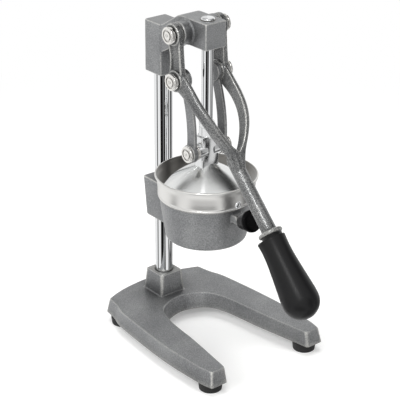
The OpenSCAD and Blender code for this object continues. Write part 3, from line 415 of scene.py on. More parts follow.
def turned(profile, origin, axis, segments=64, ring=False):  # profile of (radius, distance along the axis)
    axis = Vector(axis).normalized()
    side = axis.orthogonal().normalized()
    other = axis.cross(side)
    points, rings = [], []
    for radius, along in profile:
        centre = origin + axis * (along * mm)
        if radius < 1e-4:
            rings.append([len(points)])
            points.append(centre)
            continue
        rings.append(list(range(len(points), len(points) + segments)))
        for k in range(segments):
            a = 2 * math.pi * k / segments
            points.append(centre + (side * math.cos(a) + other * math.sin(a)) * (radius * mm))
    faces = []
    for low, high in list(zip(rings, rings[1:])) + ([(rings[-1], rings[0])] if ring else []):
        for k in range(segments):
            n = (k + 1) % segments
            if len(low) == 1 and len(high) == 1:
                break
            if len(low) == 1:
                faces.append((low[0], high[n], high[k]))
            elif len(high) == 1:
                faces.append((low[k], low[n], high[0]))
            else:
                faces.append((low[k], low[n], high[n], high[k]))
    return points, faces


def barrel(radius, low, high, edge):  # profile of a plain cylinder with rounded rims
    near = edge * 1.2  # a ring close to each rim keeps the mirror of the long side straight
    return [(0, low), *lowRim(radius, low, edge), (radius, low + near), (radius, high - near),
        *highRim(radius, high, edge), (0, high)]


def eyeProfile(radius, low, high, lowEdge, highEdge):
    return [(0, low), *lowRim(radius, low, lowEdge), *highRim(radius, high, highEdge), (0, high)]


def bore(radius, ends, origin, axis, segments):
    return turned([(0, ends[0]), (radius, ends[0]), (radius, ends[1]), (0, ends[1])], origin, axis, segments)


def plate(outline, x0, x1, edge):  # reach and height outline spread across, with rounded rims
    return skin([[at(x, *p) for p in inset(outline, i)] for x, i in lowLevels(x0, edge) + highLevels(x1, edge)])


def stack(outlineAt, levels):  # plan outline (x, reach) for each of the heights
    return skin([[at(x, f, level[0]) for x, f in outlineAt(*level)] for level in levels])


def crossTurned(profile, way, reach, height):  # turned about an axis across the press, to the left or right
    return turned(profile, at(0, reach, height), (way, 0, 0))


def pinHole(ends, way, reach, height):
    return bore(bores["pin"], ends, at(0, reach, height), (way, 0, 0), 64)


def setScrewHoles(ends, heights):  # from behind into the column
    return [bore(bores["setScrew"], ends, at(0, 0, height), (0, 1, 0), 32) for height in heights]


def slantAxis(degrees):  # forwards, and up by so many degrees
    turn = math.radians(degrees)
    return Vector((0, -math.cos(turn), math.sin(turn)))


# Objects

def meshObject(name, shapes):
    mesh = bpy.data.meshes.new(name)
    points, faces = [], []
    for more, loops in shapes:
        start = len(points)
        points += more
        faces += [tuple(i + start for i in face) for face in loops]
    mesh.from_pydata([tuple(p) for p in points], [], faces)
    work = bmesh.new()
    work.from_mesh(mesh)
    bmesh.ops.recalc_face_normals(work, faces=work.faces)
    work.to_mesh(mesh)
    work.free()
    return addObject(name, mesh)


def settle(item):  # the evaluated shape as a plain mesh, with the modifiers gone
    bpy.context.view_layer.update()
    graph = bpy.context.evaluated_depsgraph_get()
    mesh = bpy.data.meshes.new_from_object(item.evaluated_get(graph))
    item.modifiers.clear()
    item.data = mesh
    return item


def discard(item):
    mesh = item.data
    bpy.data.objects.remove(item)
    bpy.data.meshes.remove(mesh)


def finishPiece(item, material, body, nodes, slotName, sharp=38):
    mesh = item.data
    mesh.name = item.name
    mesh.materials.clear()
    mesh.materials.append(material)
    mesh.shade_smooth()
    mesh.set_sharp_from_angle(angle=math.radians(sharp))
    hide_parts(*nodes)
    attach(item, body)
    return item


def piece(name, shapes, material, body, nodes, slotName, sharp=38):
    return finishPiece(meshObject(name, shapes), material, body, nodes, slotName, sharp)


def casting(name, shapes, voxel, passes, holes):  # shapes run together as one casting, then bored
    item = meshObject(name, shapes)
    melt = item.modifiers.new("melt", "REMESH")
    melt.mode = "VOXEL"
    melt.voxel_size = voxel * mm * 1
    even = item.modifiers.new("even", "SMOOTH")
    even.factor = 0.5
    even.iterations = passes
    cutter = meshObject(name + "Holes", holes)
    cut = item.modifiers.new("cut", "BOOLEAN")
    cut.operation = "DIFFERENCE"
    cut.object = cutter
    cut.solver = "EXACT"
    settle(item)
    discard(cutter)
    return item


# Repeated pieces: one template set out on points by Geometry Nodes

def startTree(name, inputs):  # a Geometry Nodes tree with named inputs and its entry node
    tree = bpy.data.node_groups.new(name, "GeometryNodeTree")
    for label, kind in inputs.items():
        tree.interface.new_socket(label, in_out="INPUT", socket_type="NodeSocket" + kind)
    tree.interface.new_socket("Pieces", in_out="OUTPUT", socket_type="NodeSocketGeometry")
    return tree, addNode(tree, "NodeGroupInput")


def endTree(tree, entry, pieces):
    coat = addNode(tree, "GeometryNodeSetMaterial", links={"Geometry": pieces.outputs[0],
        "Material": entry.outputs["Coating"]})
    addNode(tree, "NodeGroupOutput", links={0: coat.outputs[0]})
    return tree


def applyTree(item, tree, values):
    rule = item.modifiers.new(tree.name, "NODES")
    rule.node_group = tree
    for entry in tree.interface.items_tree:
        if entry.in_out == "INPUT" and entry.name in values:
            rule[entry.identifier] = values[entry.name]
    return settle(item)


def repeatTree():
    tree, entry = startTree("setOutPieces", {"Places": "Geometry", "Piece": "Object", "Size": "Float",
        "Turn Spread": "Float", "Seed": "Int", "Coating": "Material"})
    source = addNode(tree, "GeometryNodeObjectInfo", links={"Object": entry.outputs["Piece"]})
    facing = addNode(tree, "GeometryNodeInputNamedAttribute", {"data_type": "FLOAT_VECTOR", "in:Name": "facing"})
    aim = addNode(tree, "FunctionNodeEulerToRotation", links={0: facing.outputs["Attribute"]})
    chance = addNode(tree, "FunctionNodeRandomValue", {"data_type": "FLOAT"},
        {3: entry.outputs["Turn Spread"], "Seed": entry.outputs["Seed"]})
    spin = addNode(tree, "ShaderNodeCombineXYZ", links={"Z": chance.outputs[1]})
    own = addNode(tree, "FunctionNodeEulerToRotation", links={0: spin.outputs[0]})
    turn = addNode(tree, "FunctionNodeRotateRotation", {"rotation_space": "LOCAL"},
        {0: aim.outputs[0], 1: own.outputs[0]})
    setOut = addNode(tree, "GeometryNodeInstanceOnPoints", links={"Points": entry.outputs["Places"],
        "Instance": source.outputs["Geometry"], "Rotation": turn.outputs[0], "Scale": entry.outputs["Size"]})
    real = addNode(tree, "GeometryNodeRealizeInstances", links={0: setOut.outputs[0]})
    return endTree(tree, entry, real)


setOutTree = repeatTree()


# places are pairs of a point and the direction that the template's Z takes there
def setOut(name, template, places, material, body, nodes, slotName, spread=0.0, sharp=38):
    source = meshObject(name + "Template", template)
    source.data.shade_smooth()
    mesh = bpy.data.meshes.new(name)
    mesh.from_pydata([tuple(p) for p, d in places], [], [])
    facing = mesh.attributes.new("facing", "FLOAT_VECTOR", "POINT")
    for value, (p, d) in zip(facing.data, places):
        value.vector = Vector(d).to_track_quat("Z", "Y").to_euler()
    item = applyTree(addObject(name, mesh), setOutTree,
        {"Piece": source, "Size": 1.0, "Turn Spread": spread, "Seed": 7, "Coating": material})
    for attribute in [a for a in item.data.attributes if a.name == "facing"]:
        item.data.attributes.remove(attribute)
    discard(source)
    return finishPiece(item, material, body, nodes, slotName, sharp)


zero = Vector((0, 0, 0))
upright = Vector((0, 0, 1))
columnAxis, rodAxis = at(0, 0, 0), at(0, rodReach, 0)
fullTurn = 6.2  # radians by which repeated round pieces may be turned from each other
bores = {"column": 11.56, "bush": 9.12, "pin": 5.06, "setScrew": 3.06, "knobStud": 2.56, "gripStud": 4.05}


# Base: a drafted horseshoe with rounded edges, and the column socket rising from its bridge. Outline and opening
# give its right half, as shares of the half width and of the front reach.

horseshoe = {
    "halfWidth": 93.7, "frontReach": 207.9, "focus": 87.942, "top": 32.5, "bottom": 12.0,
    "draft": 1.035, "openingDraft": (0.935, 0.87), "edge": 1.2, "footEdge": 0.9, "margin": 0.4, "innerCorner": 3.5,
    "points": 230,
    "outline": [(0, -0.173), (0.148, -0.171), (0.37, -0.158), (0.569, -0.138), (0.76, -0.106),
        (0.79, -0.099), (0.806, -0.088), (0.842, 0.005), (0.902, 0.089), (0.94, 0.228), (0.978, 0.425),
        (1, 0.611), (0.994, 0.77), (0.975, 0.911), (0.946, 0.985), (0.935, 0.997), (0.92, 1), (0.8, 1)],
    "opening": [(0, 0.149), (0.128, 0.159), (0.32, 0.197), (0.443, 0.26), (0.516, 0.37), (0.552, 0.48),
        (0.587, 0.63), (0.651, 0.818), (0.72, 1.01), (0.77, 1.15)],
}
socket = {"low": 18.9, "high": 17.0, "height": 29.3, "fillet": 1.6, "edge": 1.2, "power": 18, "points": 96,
          "bore": 11.9, "boreEdge": (0.7, 0.5), "boreDepth": 8}


def resample(points, count, drop):  # evenly spaced, leaving out the last stretch
    lengths = [0.0]
    for a, b in zip(points, points[1:]):
        lengths.append(lengths[-1] + math.dist(a, b))
    out, i = [], 0
    for k in range(count):
        goal = (lengths[-1] - drop) * k / (count - 1)
        while i < len(points) - 2 and lengths[i + 1] < goal:
            i += 1
        t = (goal - lengths[i]) / (lengths[i + 1] - lengths[i])
        out.append(tuple(p + (q - p) * t for p, q in zip(points[i], points[i + 1])))
    return out


def horseshoeLoop(height, shrink, spec):
    t = (spec["top"] - height) / (spec["top"] - spec["bottom"])
    grow = 1 + (spec["draft"] - 1) * t
    squeeze = [1 - (1 - d) * t for d in spec["openingDraft"]]
    focus = spec["focus"]
    outer = [(x * spec["halfWidth"] * grow, focus + (f * spec["frontReach"] - focus) * grow)
             for x, f in spline(spec["outline"], 5)]
    outer = resample(outer, spec["points"], 0)
    front = outer[-1][1]
    opening = []
    for x, f in spline(spec["opening"], 5):
        here = (x * spec["halfWidth"] * squeeze[0], focus + (f * spec["frontReach"] - focus) * squeeze[1])
        if here[1] > front:
            k = (front - opening[-1][1]) / (here[1] - opening[-1][1])
            opening.append((opening[-1][0] + (here[0] - opening[-1][0]) * k, front))
            break
        opening.append(here)
    corner = opening[-1]
    arcShares = (0, 0.2, 0.4, 0.6, 0.8)  # the rounded inner corner of the leg's end
    side = resample(opening, len(outer) - len(arcShares), spec["innerCorner"])
    start, end = (corner[0] + spec["innerCorner"], front), side[-1]
    arc = [tuple(p * (1 - k) ** 2 + q * 2 * k * (1 - k) + r * k * k for p, q, r in zip(start, corner, end))
           for k in arcShares]
    half = outer + arc + side[::-1]
    loop = half + [(-x, f) for x, f in reversed(half[1:-1])]
    return inset(loop, shrink) if shrink else loop


def horseshoeShape(spec):
    low, high = spec["bottom"], spec["top"]
    levels = [(low, spec["footEdge"] + spec["margin"])] + lowLevels(low, spec["footEdge"], 3)
    levels += [(low + (high - low) * k, 0) for k in (0.3, 0.5, 0.7)]
    levels += highLevels(high, spec["edge"], 6) + [(high, spec["edge"] + spec["margin"])]
    loops = [[at(x, f, level[0]) for x, f in horseshoeLoop(*level, spec)] for level in levels]
    points, faces = skin(loops, caps=False)
    count = len(loops[0])
    half = count // 2  # a point across the leg from point k is half - k, and its twin on the left is count - k
    for start in (0, count * (len(loops) - 1)):
        for k in range(half // 2):
            quad = (k, k + 1, half - k - 1, half - k)
            faces.append(tuple(start + i for i in quad))
            faces.append(tuple(start + (count - i) % count for i in reversed(quad)))
    return points, faces


def socketShape(spec, ground):
    top, bore, (wider, deeper) = ground + spec["height"], spec["bore"], spec["boreEdge"]
    levels = [(ground - 1, spec["low"] + spec["fillet"])]
    levels += [(ground + d, spec["low"] + i) for i, d in edgeRound(spec["fillet"], 6)]
    levels += [(z, spec["high"] - i) for z, i in highLevels(top, spec["edge"], 5)]
    rings = [(z, half, spec["power"]) for z, half in levels]
    rings += [(top, bore + wider, 2), (top - deeper, bore, 2), (top - spec["boreDepth"], bore, 2)]
    return skin([[at(x, f, z) for x, f in squareLoop(half, half, power, spec["points"])] for z, half, power in rings])


piece("horseshoeBase", [horseshoeShape(horseshoe), socketShape(socket, horseshoe["top"])],
    iron, "frame", ["base"], "base")

foot = {"radius": 15.2, "low": 14.1, "height": 12.0, "edge": 1.3, "recess": 4.9, "recessDepth": 4.6,
        "places": [(-77.77, 193.14), (77.77, 193.14), (-65.59, -5.2), (65.59, -5.2)]}
footProfile = [(0, foot["recessDepth"]), (foot["recess"], foot["recessDepth"]), (foot["recess"], 0.4)]
footProfile += rounded([(foot["recess"] + 0.3, 0), (foot["low"], 0), (foot["radius"], foot["height"] - 2.2),
    (foot["radius"], foot["height"]), (0, foot["height"])], [0, foot["edge"], 1.5, 0.8, 0], closed=False)
setOut("rubberFeet", [turned(footProfile, zero, upright, 56)], [(at(x, f, 0), upright) for x, f in foot["places"]],
    materials["mouldedRubber"], "frame", ["foot_front_left", "foot_front_right", "foot_rear_left", "foot_rear_right"],
    "foot", spread=fullTurn)
print("base ready")


# Column

column = {"radius": 11.5, "bottom": 23.5, "top": 397.5, "edge": 0.9}
piece("chromeColumn", [turned(barrel(column["radius"], column["bottom"], column["top"], column["edge"]),
    columnAxis, upright, 128)], chrome, "frame", ["column"], "column")


# Head: clamp block, rising arm and guide box run together, with bosses for the lever pins

headForm = {
    "blockHalf": 16.5, "blockLow": 340.4, "blockHigh": 407.4, "boxHalf": 15.6, "edge": 1.2, "power": 18,
    "outline": [(-12, 371.4), (16.5, 371.4), (55.8, 395.6), (103, 395.6), (103, 428.8), (51.25, 428.8),
                (16.5, 407.4), (-12, 407.4)],
    "radii": [0, 8, 6, 1.6, 1.6, 5, 5, 0],
    "bossRadius": 14.0, "bossEnd": 28.9, "bossFillet": 2.6, "bossEdge": 1.9, "voxel": 0.62, "passes": 3,
    "columnHole": (330, 397.8), "bushHole": (390, 432), "pinHole": (17.8, 30), "screwHole": (8, 20),
    "screws": (390.65, 357.15),
}


def headShapes(spec):
    levels = lowLevels(spec["blockLow"], spec["edge"]) + highLevels(spec["blockHigh"], spec["edge"])
    half = spec["blockHalf"]
    block = stack(lambda height, i: squareLoop(half - i, half - i, spec["power"], 96), levels)
    arm = plate(rounded(spec["outline"], spec["radii"]), -spec["boxHalf"], spec["boxHalf"], spec["edge"])
    radius, wall = spec["bossRadius"], spec["boxHalf"]
    side = [(0, 0), (radius + spec["bossFillet"], wall - 1)]
    side += [(radius + i, wall + d) for i, d in edgeRound(spec["bossFillet"])]
    side += highRim(radius, spec["bossEnd"], spec["bossEdge"]) + [(0, spec["bossEnd"])]
    return [block, arm] + [crossTurned(side, way, *pivots["head"]) for way in (-1, 1)]


def headHoles(spec):
    return [bore(bores["column"], spec["columnHole"], columnAxis, upright, 96),
        bore(bores["bush"], spec["bushHole"], rodAxis, upright, 80),
        *[pinHole(spec["pinHole"], way, *pivots["head"]) for way in (-1, 1)],
        *setScrewHoles(spec["screwHole"], spec["screws"])]


headCasting = casting("headCasting", headShapes(headForm), headForm["voxel"], headForm["passes"],
    headHoles(headForm))
finishPiece(headCasting, iron, "frame", ["head"], "head")
print("head ready")


# Pins: a domed disc with a turned groove and a centre dimple, on a plain shank

pin = {"radius": 5.0, "disc": 10.5, "thickness": 3.6, "groove": 6.4, "grooveWidth": 1.1, "grooveDepth": 1.2,
       "dome": 0.45, "rim": 0.9, "dimple": 2.1, "dimpleDepth": 1.3}
pinSets = {
    "fixedLeverPins": {"face": 42.0, "shank": 23.1, "place": pivots["head"], "body": "frame",
        "nodes": ["head_pin_left", "head_pin_right"]},
    "linkPins": {"face": 42.0, "shank": 20.7, "place": pivots["link"], "body": "links",
        "nodes": ["link_pin_left", "link_pin_right"]},
    "crossheadPins": {"face": 29.0, "shank": 7.1, "place": pivots["crosshead"], "body": "links",
        "nodes": ["crosshead_pin_left", "crosshead_pin_right"]},
}


def pinShape(spec, shank):
    t, g, w, d = spec["thickness"], spec["groove"], spec["grooveWidth"], spec["grooveDepth"]

    def face(r):
        return t - spec["dome"] * (r / spec["disc"]) ** 2

    side = [(0, face(0) - spec["dimpleDepth"]), (spec["dimple"] * 0.6, face(0) - spec["dimpleDepth"] * 0.7),
            (spec["dimple"], face(spec["dimple"])), (g * 0.5, face(g * 0.5)), (g - w - 0.15, face(g - w)),
            (g - w + 0.1, face(g) - d * 0.8), (g, face(g) - d), (g + w - 0.1, face(g) - d * 0.8),
            (g + w + 0.15, face(g + w)), (spec["disc"] * 0.82, face(spec["disc"] * 0.82))]
    top = face(spec["disc"] * 0.95)
    side += [(spec["disc"] - i, top - d) for i, d in edgeRound(spec["rim"])]
    side += [(spec["disc"], 0.3), (spec["disc"] - 0.3, 0), (spec["radius"], 0), (spec["radius"], -shank + 0.5),
             (spec["radius"] - 0.5, -shank), (0, -shank)]
    return turned(side, zero, upright, 72)


for name, spec in pinSets.items():
    places = [(at(way * spec["face"], *spec["place"]), (way, 0, 0)) for way in (-1, 1)]
    setOut(name, [pinShape(pin, spec["shank"])], places, materials["turnedChrome"], spec["body"], spec["nodes"],
        "pin", sharp=50)

washerSets = {
    "leverEyeCollars": {"radius": 9.66, "thickness": 2.9, "steps": [39.1], "place": pivots["head"], "body": "frame",
        "nodes": ["head_washers"]},
    "linkEyeCollars": {"radius": 9.66, "thickness": 2.9, "steps": [39.1], "place": pivots["link"], "body": "links",
        "nodes": ["link_washers"]},
    "crossheadSpacers": {"radius": 10.4, "thickness": 2.05, "steps": [17.3, 19.4], "place": pivots["crosshead"],
        "body": "plunger", "nodes": ["crosshead_washers"]},
}
washerHole = 5.05
for name, spec in washerSets.items():
    ring = rounded([(washerHole, 0), (spec["radius"], 0), (spec["radius"], spec["thickness"]),
        (washerHole, spec["thickness"])], [0, 0.45, 0.45, 0])
    places = [(at(way * step, *spec["place"]), (way, 0, 0)) for way in (-1, 1) for step in spec["steps"]]
    setOut(name, [turned(ring, zero, upright, 64, ring=True)], places, materials["turnedChrome"], spec["body"],
        spec["nodes"], "washer", spread=fullTurn)
print("pins ready")


# Cup holder: the pot, its clamp block on the column and the lug for the knob, run together and bored

holder = {
    "bottom": 145.6, "top": 202.1, "low": 52.0, "high": 59.4, "corner": 7.0, "wall": 4.0, "outlet": 14.0,
    "clampLow": 141.0, "clampHigh": 196.0, "halfLow": 16.4, "halfHigh": 19.3, "clampReach": 61.0,
    "clampEdge": 1.2, "clampCorner": 3.4,
    "lugHalf": 7.5, "lugLow": 185.6, "lugHigh": 196.6, "lugFaceLow": 158.3, "lugFaceHigh": 153.5, "lugRoot": 40,
    "lugEdge": 1.4, "lugCorner": 1.6, "voxel": 0.84, "passes": 3,
    "outletHole": (140, 152), "columnHole": (130, 210), "studHole": (-10.75, 4), "screwHole": (8, 24),
    "screws": (182.25, 154.75),
}
knob = {"place": (157.05, 188.7), "rise": 24, "length": 21.5, "inner": 9.3, "outer": 14.0, "edge": 2.2, "dish": 0.9,
        "hole": 2.55, "holeDepth": 10.6, "flare": [(10.9, 6.0), (12.6, 12.4)]}
knobPlace, knobAxis = at(0, *knob["place"]), slantAxis(knob["rise"])


def potProfile(spec, shrink, floor, top):
    corner = spec["corner"] - shrink / 2
    slope = (spec["high"] - spec["low"]) / (spec["top"] - spec["bottom"] - spec["corner"])

    def wall(height):
        return spec["low"] + slope * (height - spec["bottom"] - spec["corner"]) - shrink

    low = wall(floor + corner)
    side = [(0, floor)] + [(low - corner * (1 - k / 6) ** 2, floor + corner * (k / 6) ** 2) for k in range(7)]
    side += [(wall(floor + corner + (top - floor - corner) * k / 8), floor + corner + (top - floor - corner) * k / 8)
             for k in range(1, 9)]
    return side + [(0, top)]


def holderShapes(spec):
    pot = turned(potProfile(spec, 0, spec["bottom"], spec["top"]), rodAxis, upright, 144)
    low, high = spec["clampLow"], spec["clampHigh"]
    levels = lowLevels(low, spec["clampEdge"]) + [(low + (high - low) * k, 0) for k in (0.25, 0.5, 0.75)]
    levels += highLevels(high, spec["clampEdge"])

    def clampLoop(height, shrink):
        half = spec["halfLow"] + (spec["halfHigh"] - spec["halfLow"]) * ((height - low) / (high - low)) - shrink
        front, corner = spec["clampReach"], spec["clampCorner"]
        return rounded([(-half, front), (half, front), (half, -half), (-half, -half)], [0, 0, corner, corner])

    root, corner = rodReach + spec["lugRoot"], spec["lugCorner"]
    lug = plate(rounded([(root, spec["lugLow"]), (spec["lugFaceLow"], spec["lugLow"]),
        (spec["lugFaceHigh"], spec["lugHigh"]), (root, spec["lugHigh"])], [0, corner, corner, 0]),
        -spec["lugHalf"], spec["lugHalf"], spec["lugEdge"])
    return [pot, stack(clampLoop, levels), lug]


def holderHoles(spec):
    inside = potProfile(spec, spec["wall"], spec["bottom"] + spec["wall"], spec["top"] + 1.5)
    return [turned(inside, rodAxis, upright, 144),
        bore(spec["outlet"], spec["outletHole"], rodAxis, upright, 72),
        bore(bores["column"], spec["columnHole"], columnAxis, upright, 96),
        bore(bores["knobStud"], spec["studHole"], knobPlace, knobAxis, 32),
        *setScrewHoles(spec["screwHole"], spec["screws"])]


cupHolder = casting("cupHolder", holderShapes(holder), holder["voxel"], holder["passes"], holderHoles(holder))
finishPiece(cupHolder, iron, "frame", ["cup_holder"], "cup_holder")


def knobProfile(spec):  # flared side, rounded outer edge and a shallow dish, over a blind hole for the stud
    inner, outer, edge, length = spec["inner"], spec["outer"], spec["edge"], spec["length"]
    side = [(0, spec["holeDepth"]), (spec["hole"], spec["holeDepth"]), (spec["hole"], 0.05), (inner - 0.7, 0)]
    side += spline([(inner, 0.7), *spec["flare"], (outer - 0.15, length - 5.2)], 5)
    side += [(outer - edge * (1 - math.cos(math.pi / 12 * k)), length - edge - 0.6 + edge * math.sin(math.pi / 12 * k))
             for k in range(6)]
    return side + [(outer - edge - 1, length - 0.1), (outer - 5.5, length - 0.1), (4, length - spec["dish"]),
        (0, length - spec["dish"] - 0.15)]


piece("clampKnob", [turned(knobProfile(knob), knobPlace, knobAxis, 80)], materials["glossPhenolicPlastic"], "frame",
    ["knob"], "knob")
print("cup holder ready")


# Bowl: spun sheet with a rolled rim, tall band, step on the cup holder, funnel and spout

bowl = {"wall": 1.3, "rim": 65.0, "rimHeight": 230.8, "band": 61.0, "step": 202.4, "body": 54.8, "shoulder": 51.2,
        "shoulderHeight": 174.0, "funnelHeight": 170.5, "funnelLow": 157.6, "spout": 12.0, "bottom": 146.1,
        "bead": 1.5, "lineDepth": 0.55}


def bowlProfile(spec):
    wall, band, step, high = spec["wall"], spec["band"], spec["step"], spec["rimHeight"]
    lip = spec["rim"] - band
    sheet = rounded([(spec["spout"], spec["bottom"]), (spec["spout"], spec["funnelLow"]),
        (spec["shoulder"] - 7, spec["funnelHeight"]), (spec["shoulder"], spec["shoulderHeight"]),
        (spec["body"], step + 0.1), (band, step + 0.1)], [0, 3.5, 4, 4, 1.6, 0], 6, closed=False)[:-1]
    sheet += rounded([(spec["body"] + 2, step), (band, step), (band, step + 5)], [0, 1.2, 0], 5, closed=False)
    sheet += spline([(band, step + 9.5), (band + lip * 0.2, high - 9.1), (band + lip * 0.5, high - 4.2),
        (spec["rim"] - spec["bead"] - 0.4, high - 2.7)], 5)
    centre = (spec["rim"] - spec["bead"], high - spec["bead"])
    roll = [(centre[0] + spec["bead"] * math.cos(a), centre[1] + spec["bead"] * math.sin(a))
            for a in [math.radians(-80 + 20 * k) for k in range(13)]]
    inner = []
    for i in range(len(sheet) - 1, -1, -1):
        a, b = sheet[max(i - 1, 0)], sheet[min(i + 1, len(sheet) - 1)]
        dx, dy = b[0] - a[0], b[1] - a[1]
        size = math.hypot(dx, dy) or 1
        inner.append((sheet[i][0] - dy / size * wall, sheet[i][1] + dx / size * wall))
    bandFoot = sheet.index((band, step + 5))
    turnedLine = [(band, step + 1.8), (band - spec["lineDepth"], step + 2.3), (band, step + 2.8)]
    return sheet[:bandFoot] + turnedLine + sheet[bandFoot:] + roll + inner


piece("juiceBowl", [turned(bowlProfile(bowl), rodAxis, upright, 160, ring=True)], materials["spunStainlessSteel"],
    "frame", ["juice_bowl"], "bowl", sharp=50)

rivet = {"radius": 4.6, "rise": 2.2, "height": 208.4, "hub": 2.3, "tail": 3.45, "tailFrom": -2.9, "tailTo": -1.6}
rivetSide = [(0, rivet["tailFrom"]), (rivet["tail"], rivet["tailFrom"]), (rivet["tail"], rivet["tailTo"]),
    (rivet["hub"], rivet["tailTo"]), (rivet["hub"], 0.06), (rivet["radius"] - 0.2, 0.06)]
rivetSide += [(rivet["radius"] * math.cos(math.pi / 16 * k), 0.2 + rivet["rise"] * math.sin(math.pi / 16 * k))
              for k in range(8)] + [(0, 0.2 + rivet["rise"])]
piece("bandRivet", [turned(rivetSide, at(0, rodReach + bowl["band"], rivet["height"]), (0, -1, 0), 48)],
    chrome, "frame", ["bowl_rivet"], "rivet")


# Strainer: a pressed dome of equal sectors, each with one slot, set out round the axis by Geometry Nodes. The dome is
# given as shares of its root radius and of its rise. The seam is half the strip that closes a sector past its slot.

strainer = {
    "sectors": 20, "rimHeight": 203.7, "edge": 59.1, "root": 50.2, "rise": 24.8, "wall": 1.2, "slot": 2.4,
    "slotFrom": 21.1, "slotTo": 44.2, "seam": 0.12, "join": 0.02,
    "dome": [(0, 1), (0.2, 0.99), (0.36, 0.94), (0.5, 0.86), (0.7, 0.62), (0.9, 0.26), (1, 0)],
}


def strainerSector(spec):
    dome = spline([(r * spec["root"], h * spec["rise"]) for r, h in spec["dome"]], 6)
    w = spec["slot"] / 2
    ends = [w * (1 - math.cos(math.pi / 8 * k)) for k in range(5)]  # rings that round the two ends of a slot
    radii = sorted(set([round(1.5 + 1.5 * k, 3) for k in range(13)] + [spec["slotFrom"] + d for d in ends]
        + [24 + 2.0 * k for k in range(10)] + [spec["slotTo"] - d for d in ends]
        + [46, 48, 49.4, 50.2, 51, 53, 56, spec["edge"]]))

    def height(r):
        if r >= spec["root"]:
            return 0.0
        for (ra, ha), (rb, hb) in zip(dome, dome[1:]):
            if ra <= r <= rb:
                return ha + (hb - ha) * (r - ra) / (rb - ra)
        return dome[0][1]

    half, least = math.pi / spec["sectors"], spec["seam"]
    points, rows, faces = [], [], []
    for r in radii:
        into = min(r - spec["slotFrom"], spec["slotTo"] - r)
        wide = least if into <= 0 else (math.sqrt(max(w * w - (w - into) ** 2, least * least)) if into < w else w)
        angle = math.asin(min(wide / r, 0.9 * math.sin(half)))
        row = []
        for a in (-half, -(half + angle) / 2, -angle, angle, (half + angle) / 2, half):
            row.append(len(points))
            points.append(Vector((r * math.cos(a) * mm, r * math.sin(a) * mm, height(r) * mm)))
        rows.append((row, r))
    tip = len(points)
    points.append(Vector((0, 0, spec["rise"] * mm)))
    first = rows[0][0]
    faces += [(tip, first[k], first[k + 1]) for k in range(5)]
    for (low, ra), (high, rb) in zip(rows, rows[1:]):
        for k in range(5):
            if k == 2 and ra >= spec["slotFrom"] and rb <= spec["slotTo"]:
                continue
            faces.append((low[k], low[k + 1], high[k + 1], high[k]))
    return points, faces


def sectorTree():
    tree, entry = startTree("setOutSectors", {"Sector": "Geometry", "Sectors": "Int", "Join Distance": "Float",
        "Coating": "Material"})
    dots = addNode(tree, "GeometryNodePoints", links={"Count": entry.outputs["Sectors"]})
    index = addNode(tree, "GeometryNodeInputIndex")
    step = addNode(tree, "ShaderNodeMath", {"operation": "DIVIDE", 0: 2 * math.pi}, {1: entry.outputs["Sectors"]})
    angle = addNode(tree, "ShaderNodeMath", {"operation": "MULTIPLY"}, {0: index.outputs[0], 1: step.outputs[0]})
    spin = addNode(tree, "ShaderNodeCombineXYZ", links={"Z": angle.outputs[0]})
    turn = addNode(tree, "FunctionNodeEulerToRotation", links={0: spin.outputs[0]})
    ring = addNode(tree, "GeometryNodeInstanceOnPoints", links={"Points": dots.outputs[0],
        "Instance": entry.outputs["Sector"], "Rotation": turn.outputs[0]})
    real = addNode(tree, "GeometryNodeRealizeInstances", links={0: ring.outputs[0]})
    weld = addNode(tree, "GeometryNodeMergeByDistance", links={"Geometry": real.outputs[0],
        "Distance": entry.outputs["Join Distance"]})
    return endTree(tree, entry, weld)


def makeStrainer(spec):
    coating = materials["pressedStainlessSteel"]
    item = applyTree(meshObject("juiceStrainer", [strainerSector(spec)]), sectorTree(),
        {"Sectors": spec["sectors"], "Join Distance": spec["join"] * mm, "Coating": coating})
    thick = item.modifiers.new("thickness", "SOLIDIFY")
    thick.thickness = spec["wall"] * mm
    thick.offset = 1
    settle(item)
    item.data.transform(Matrix.Translation(at(0, rodReach, spec["rimHeight"])))
    finishPiece(item, coating, "frame", ["strainer"], "strainer")


makeStrainer(strainer)
print("bowl ready")


# Plunger: rod, cap, nut, crosshead and press cone

plunger = {"rod": 7.0, "rodLow": 254.3, "rodHigh": 429.1, "rodEdge": 0.5, "capRadius": 8.6, "capHeight": 2.6,
           "capEdge": 0.25, "capDome": 2.1, "capSpread": 1.4}
piece("plungerRod", [turned(barrel(plunger["rod"], plunger["rodLow"], plunger["rodHigh"], plunger["rodEdge"]), rodAxis,
    upright, 96)], chrome, "plunger", ["plunger_rod"], "rod")
capSide = [(0, 0), (plunger["capRadius"] - plunger["capEdge"], 0), (plunger["capRadius"], plunger["capEdge"])]
capSide += [(plunger["capRadius"] - i * plunger["capSpread"], plunger["capHeight"] - 0.12 - d)
            for i, d in reversed(edgeRound(plunger["capDome"], 9))] + [(0, plunger["capHeight"])]
piece("rodCap", [turned(capSide, at(0, rodReach, plunger["rodHigh"]), upright, 80)], chrome, "plunger", ["rod_cap"],
    "rod")

nut = {"radius": 11.0, "bottom": 293.1, "top": 299.7, "chamfer": 1.0, "endRadius": 9.75, "halfRadius": 10.4}


def nutShape(spec):
    count, low, high, chamfer = 96, spec["bottom"], spec["top"], spec["chamfer"]
    end, half, full = spec["endRadius"], spec["halfRadius"], spec["radius"]
    loops = []
    for z, limit in ((low, end), (low + chamfer / 2, half), (low + chamfer, full), (high - chamfer, full),
                     (high - chamfer / 2, half), (high, end)):
        loop = []
        for i in range(count):
            a = 2 * math.pi * i / count
            flat = full * math.cos(math.pi / 6) / math.cos((a % (math.pi / 3)) - math.pi / 6)
            r = min(flat, limit)
            loop.append(at(r * math.cos(a), rodReach + r * math.sin(a), z))
        loops.append(loop)
    return skin(loops)


piece("jamNut", [nutShape(nut)], materials["castChrome"], "plunger", ["jam_nut"], "nut", sharp=30)

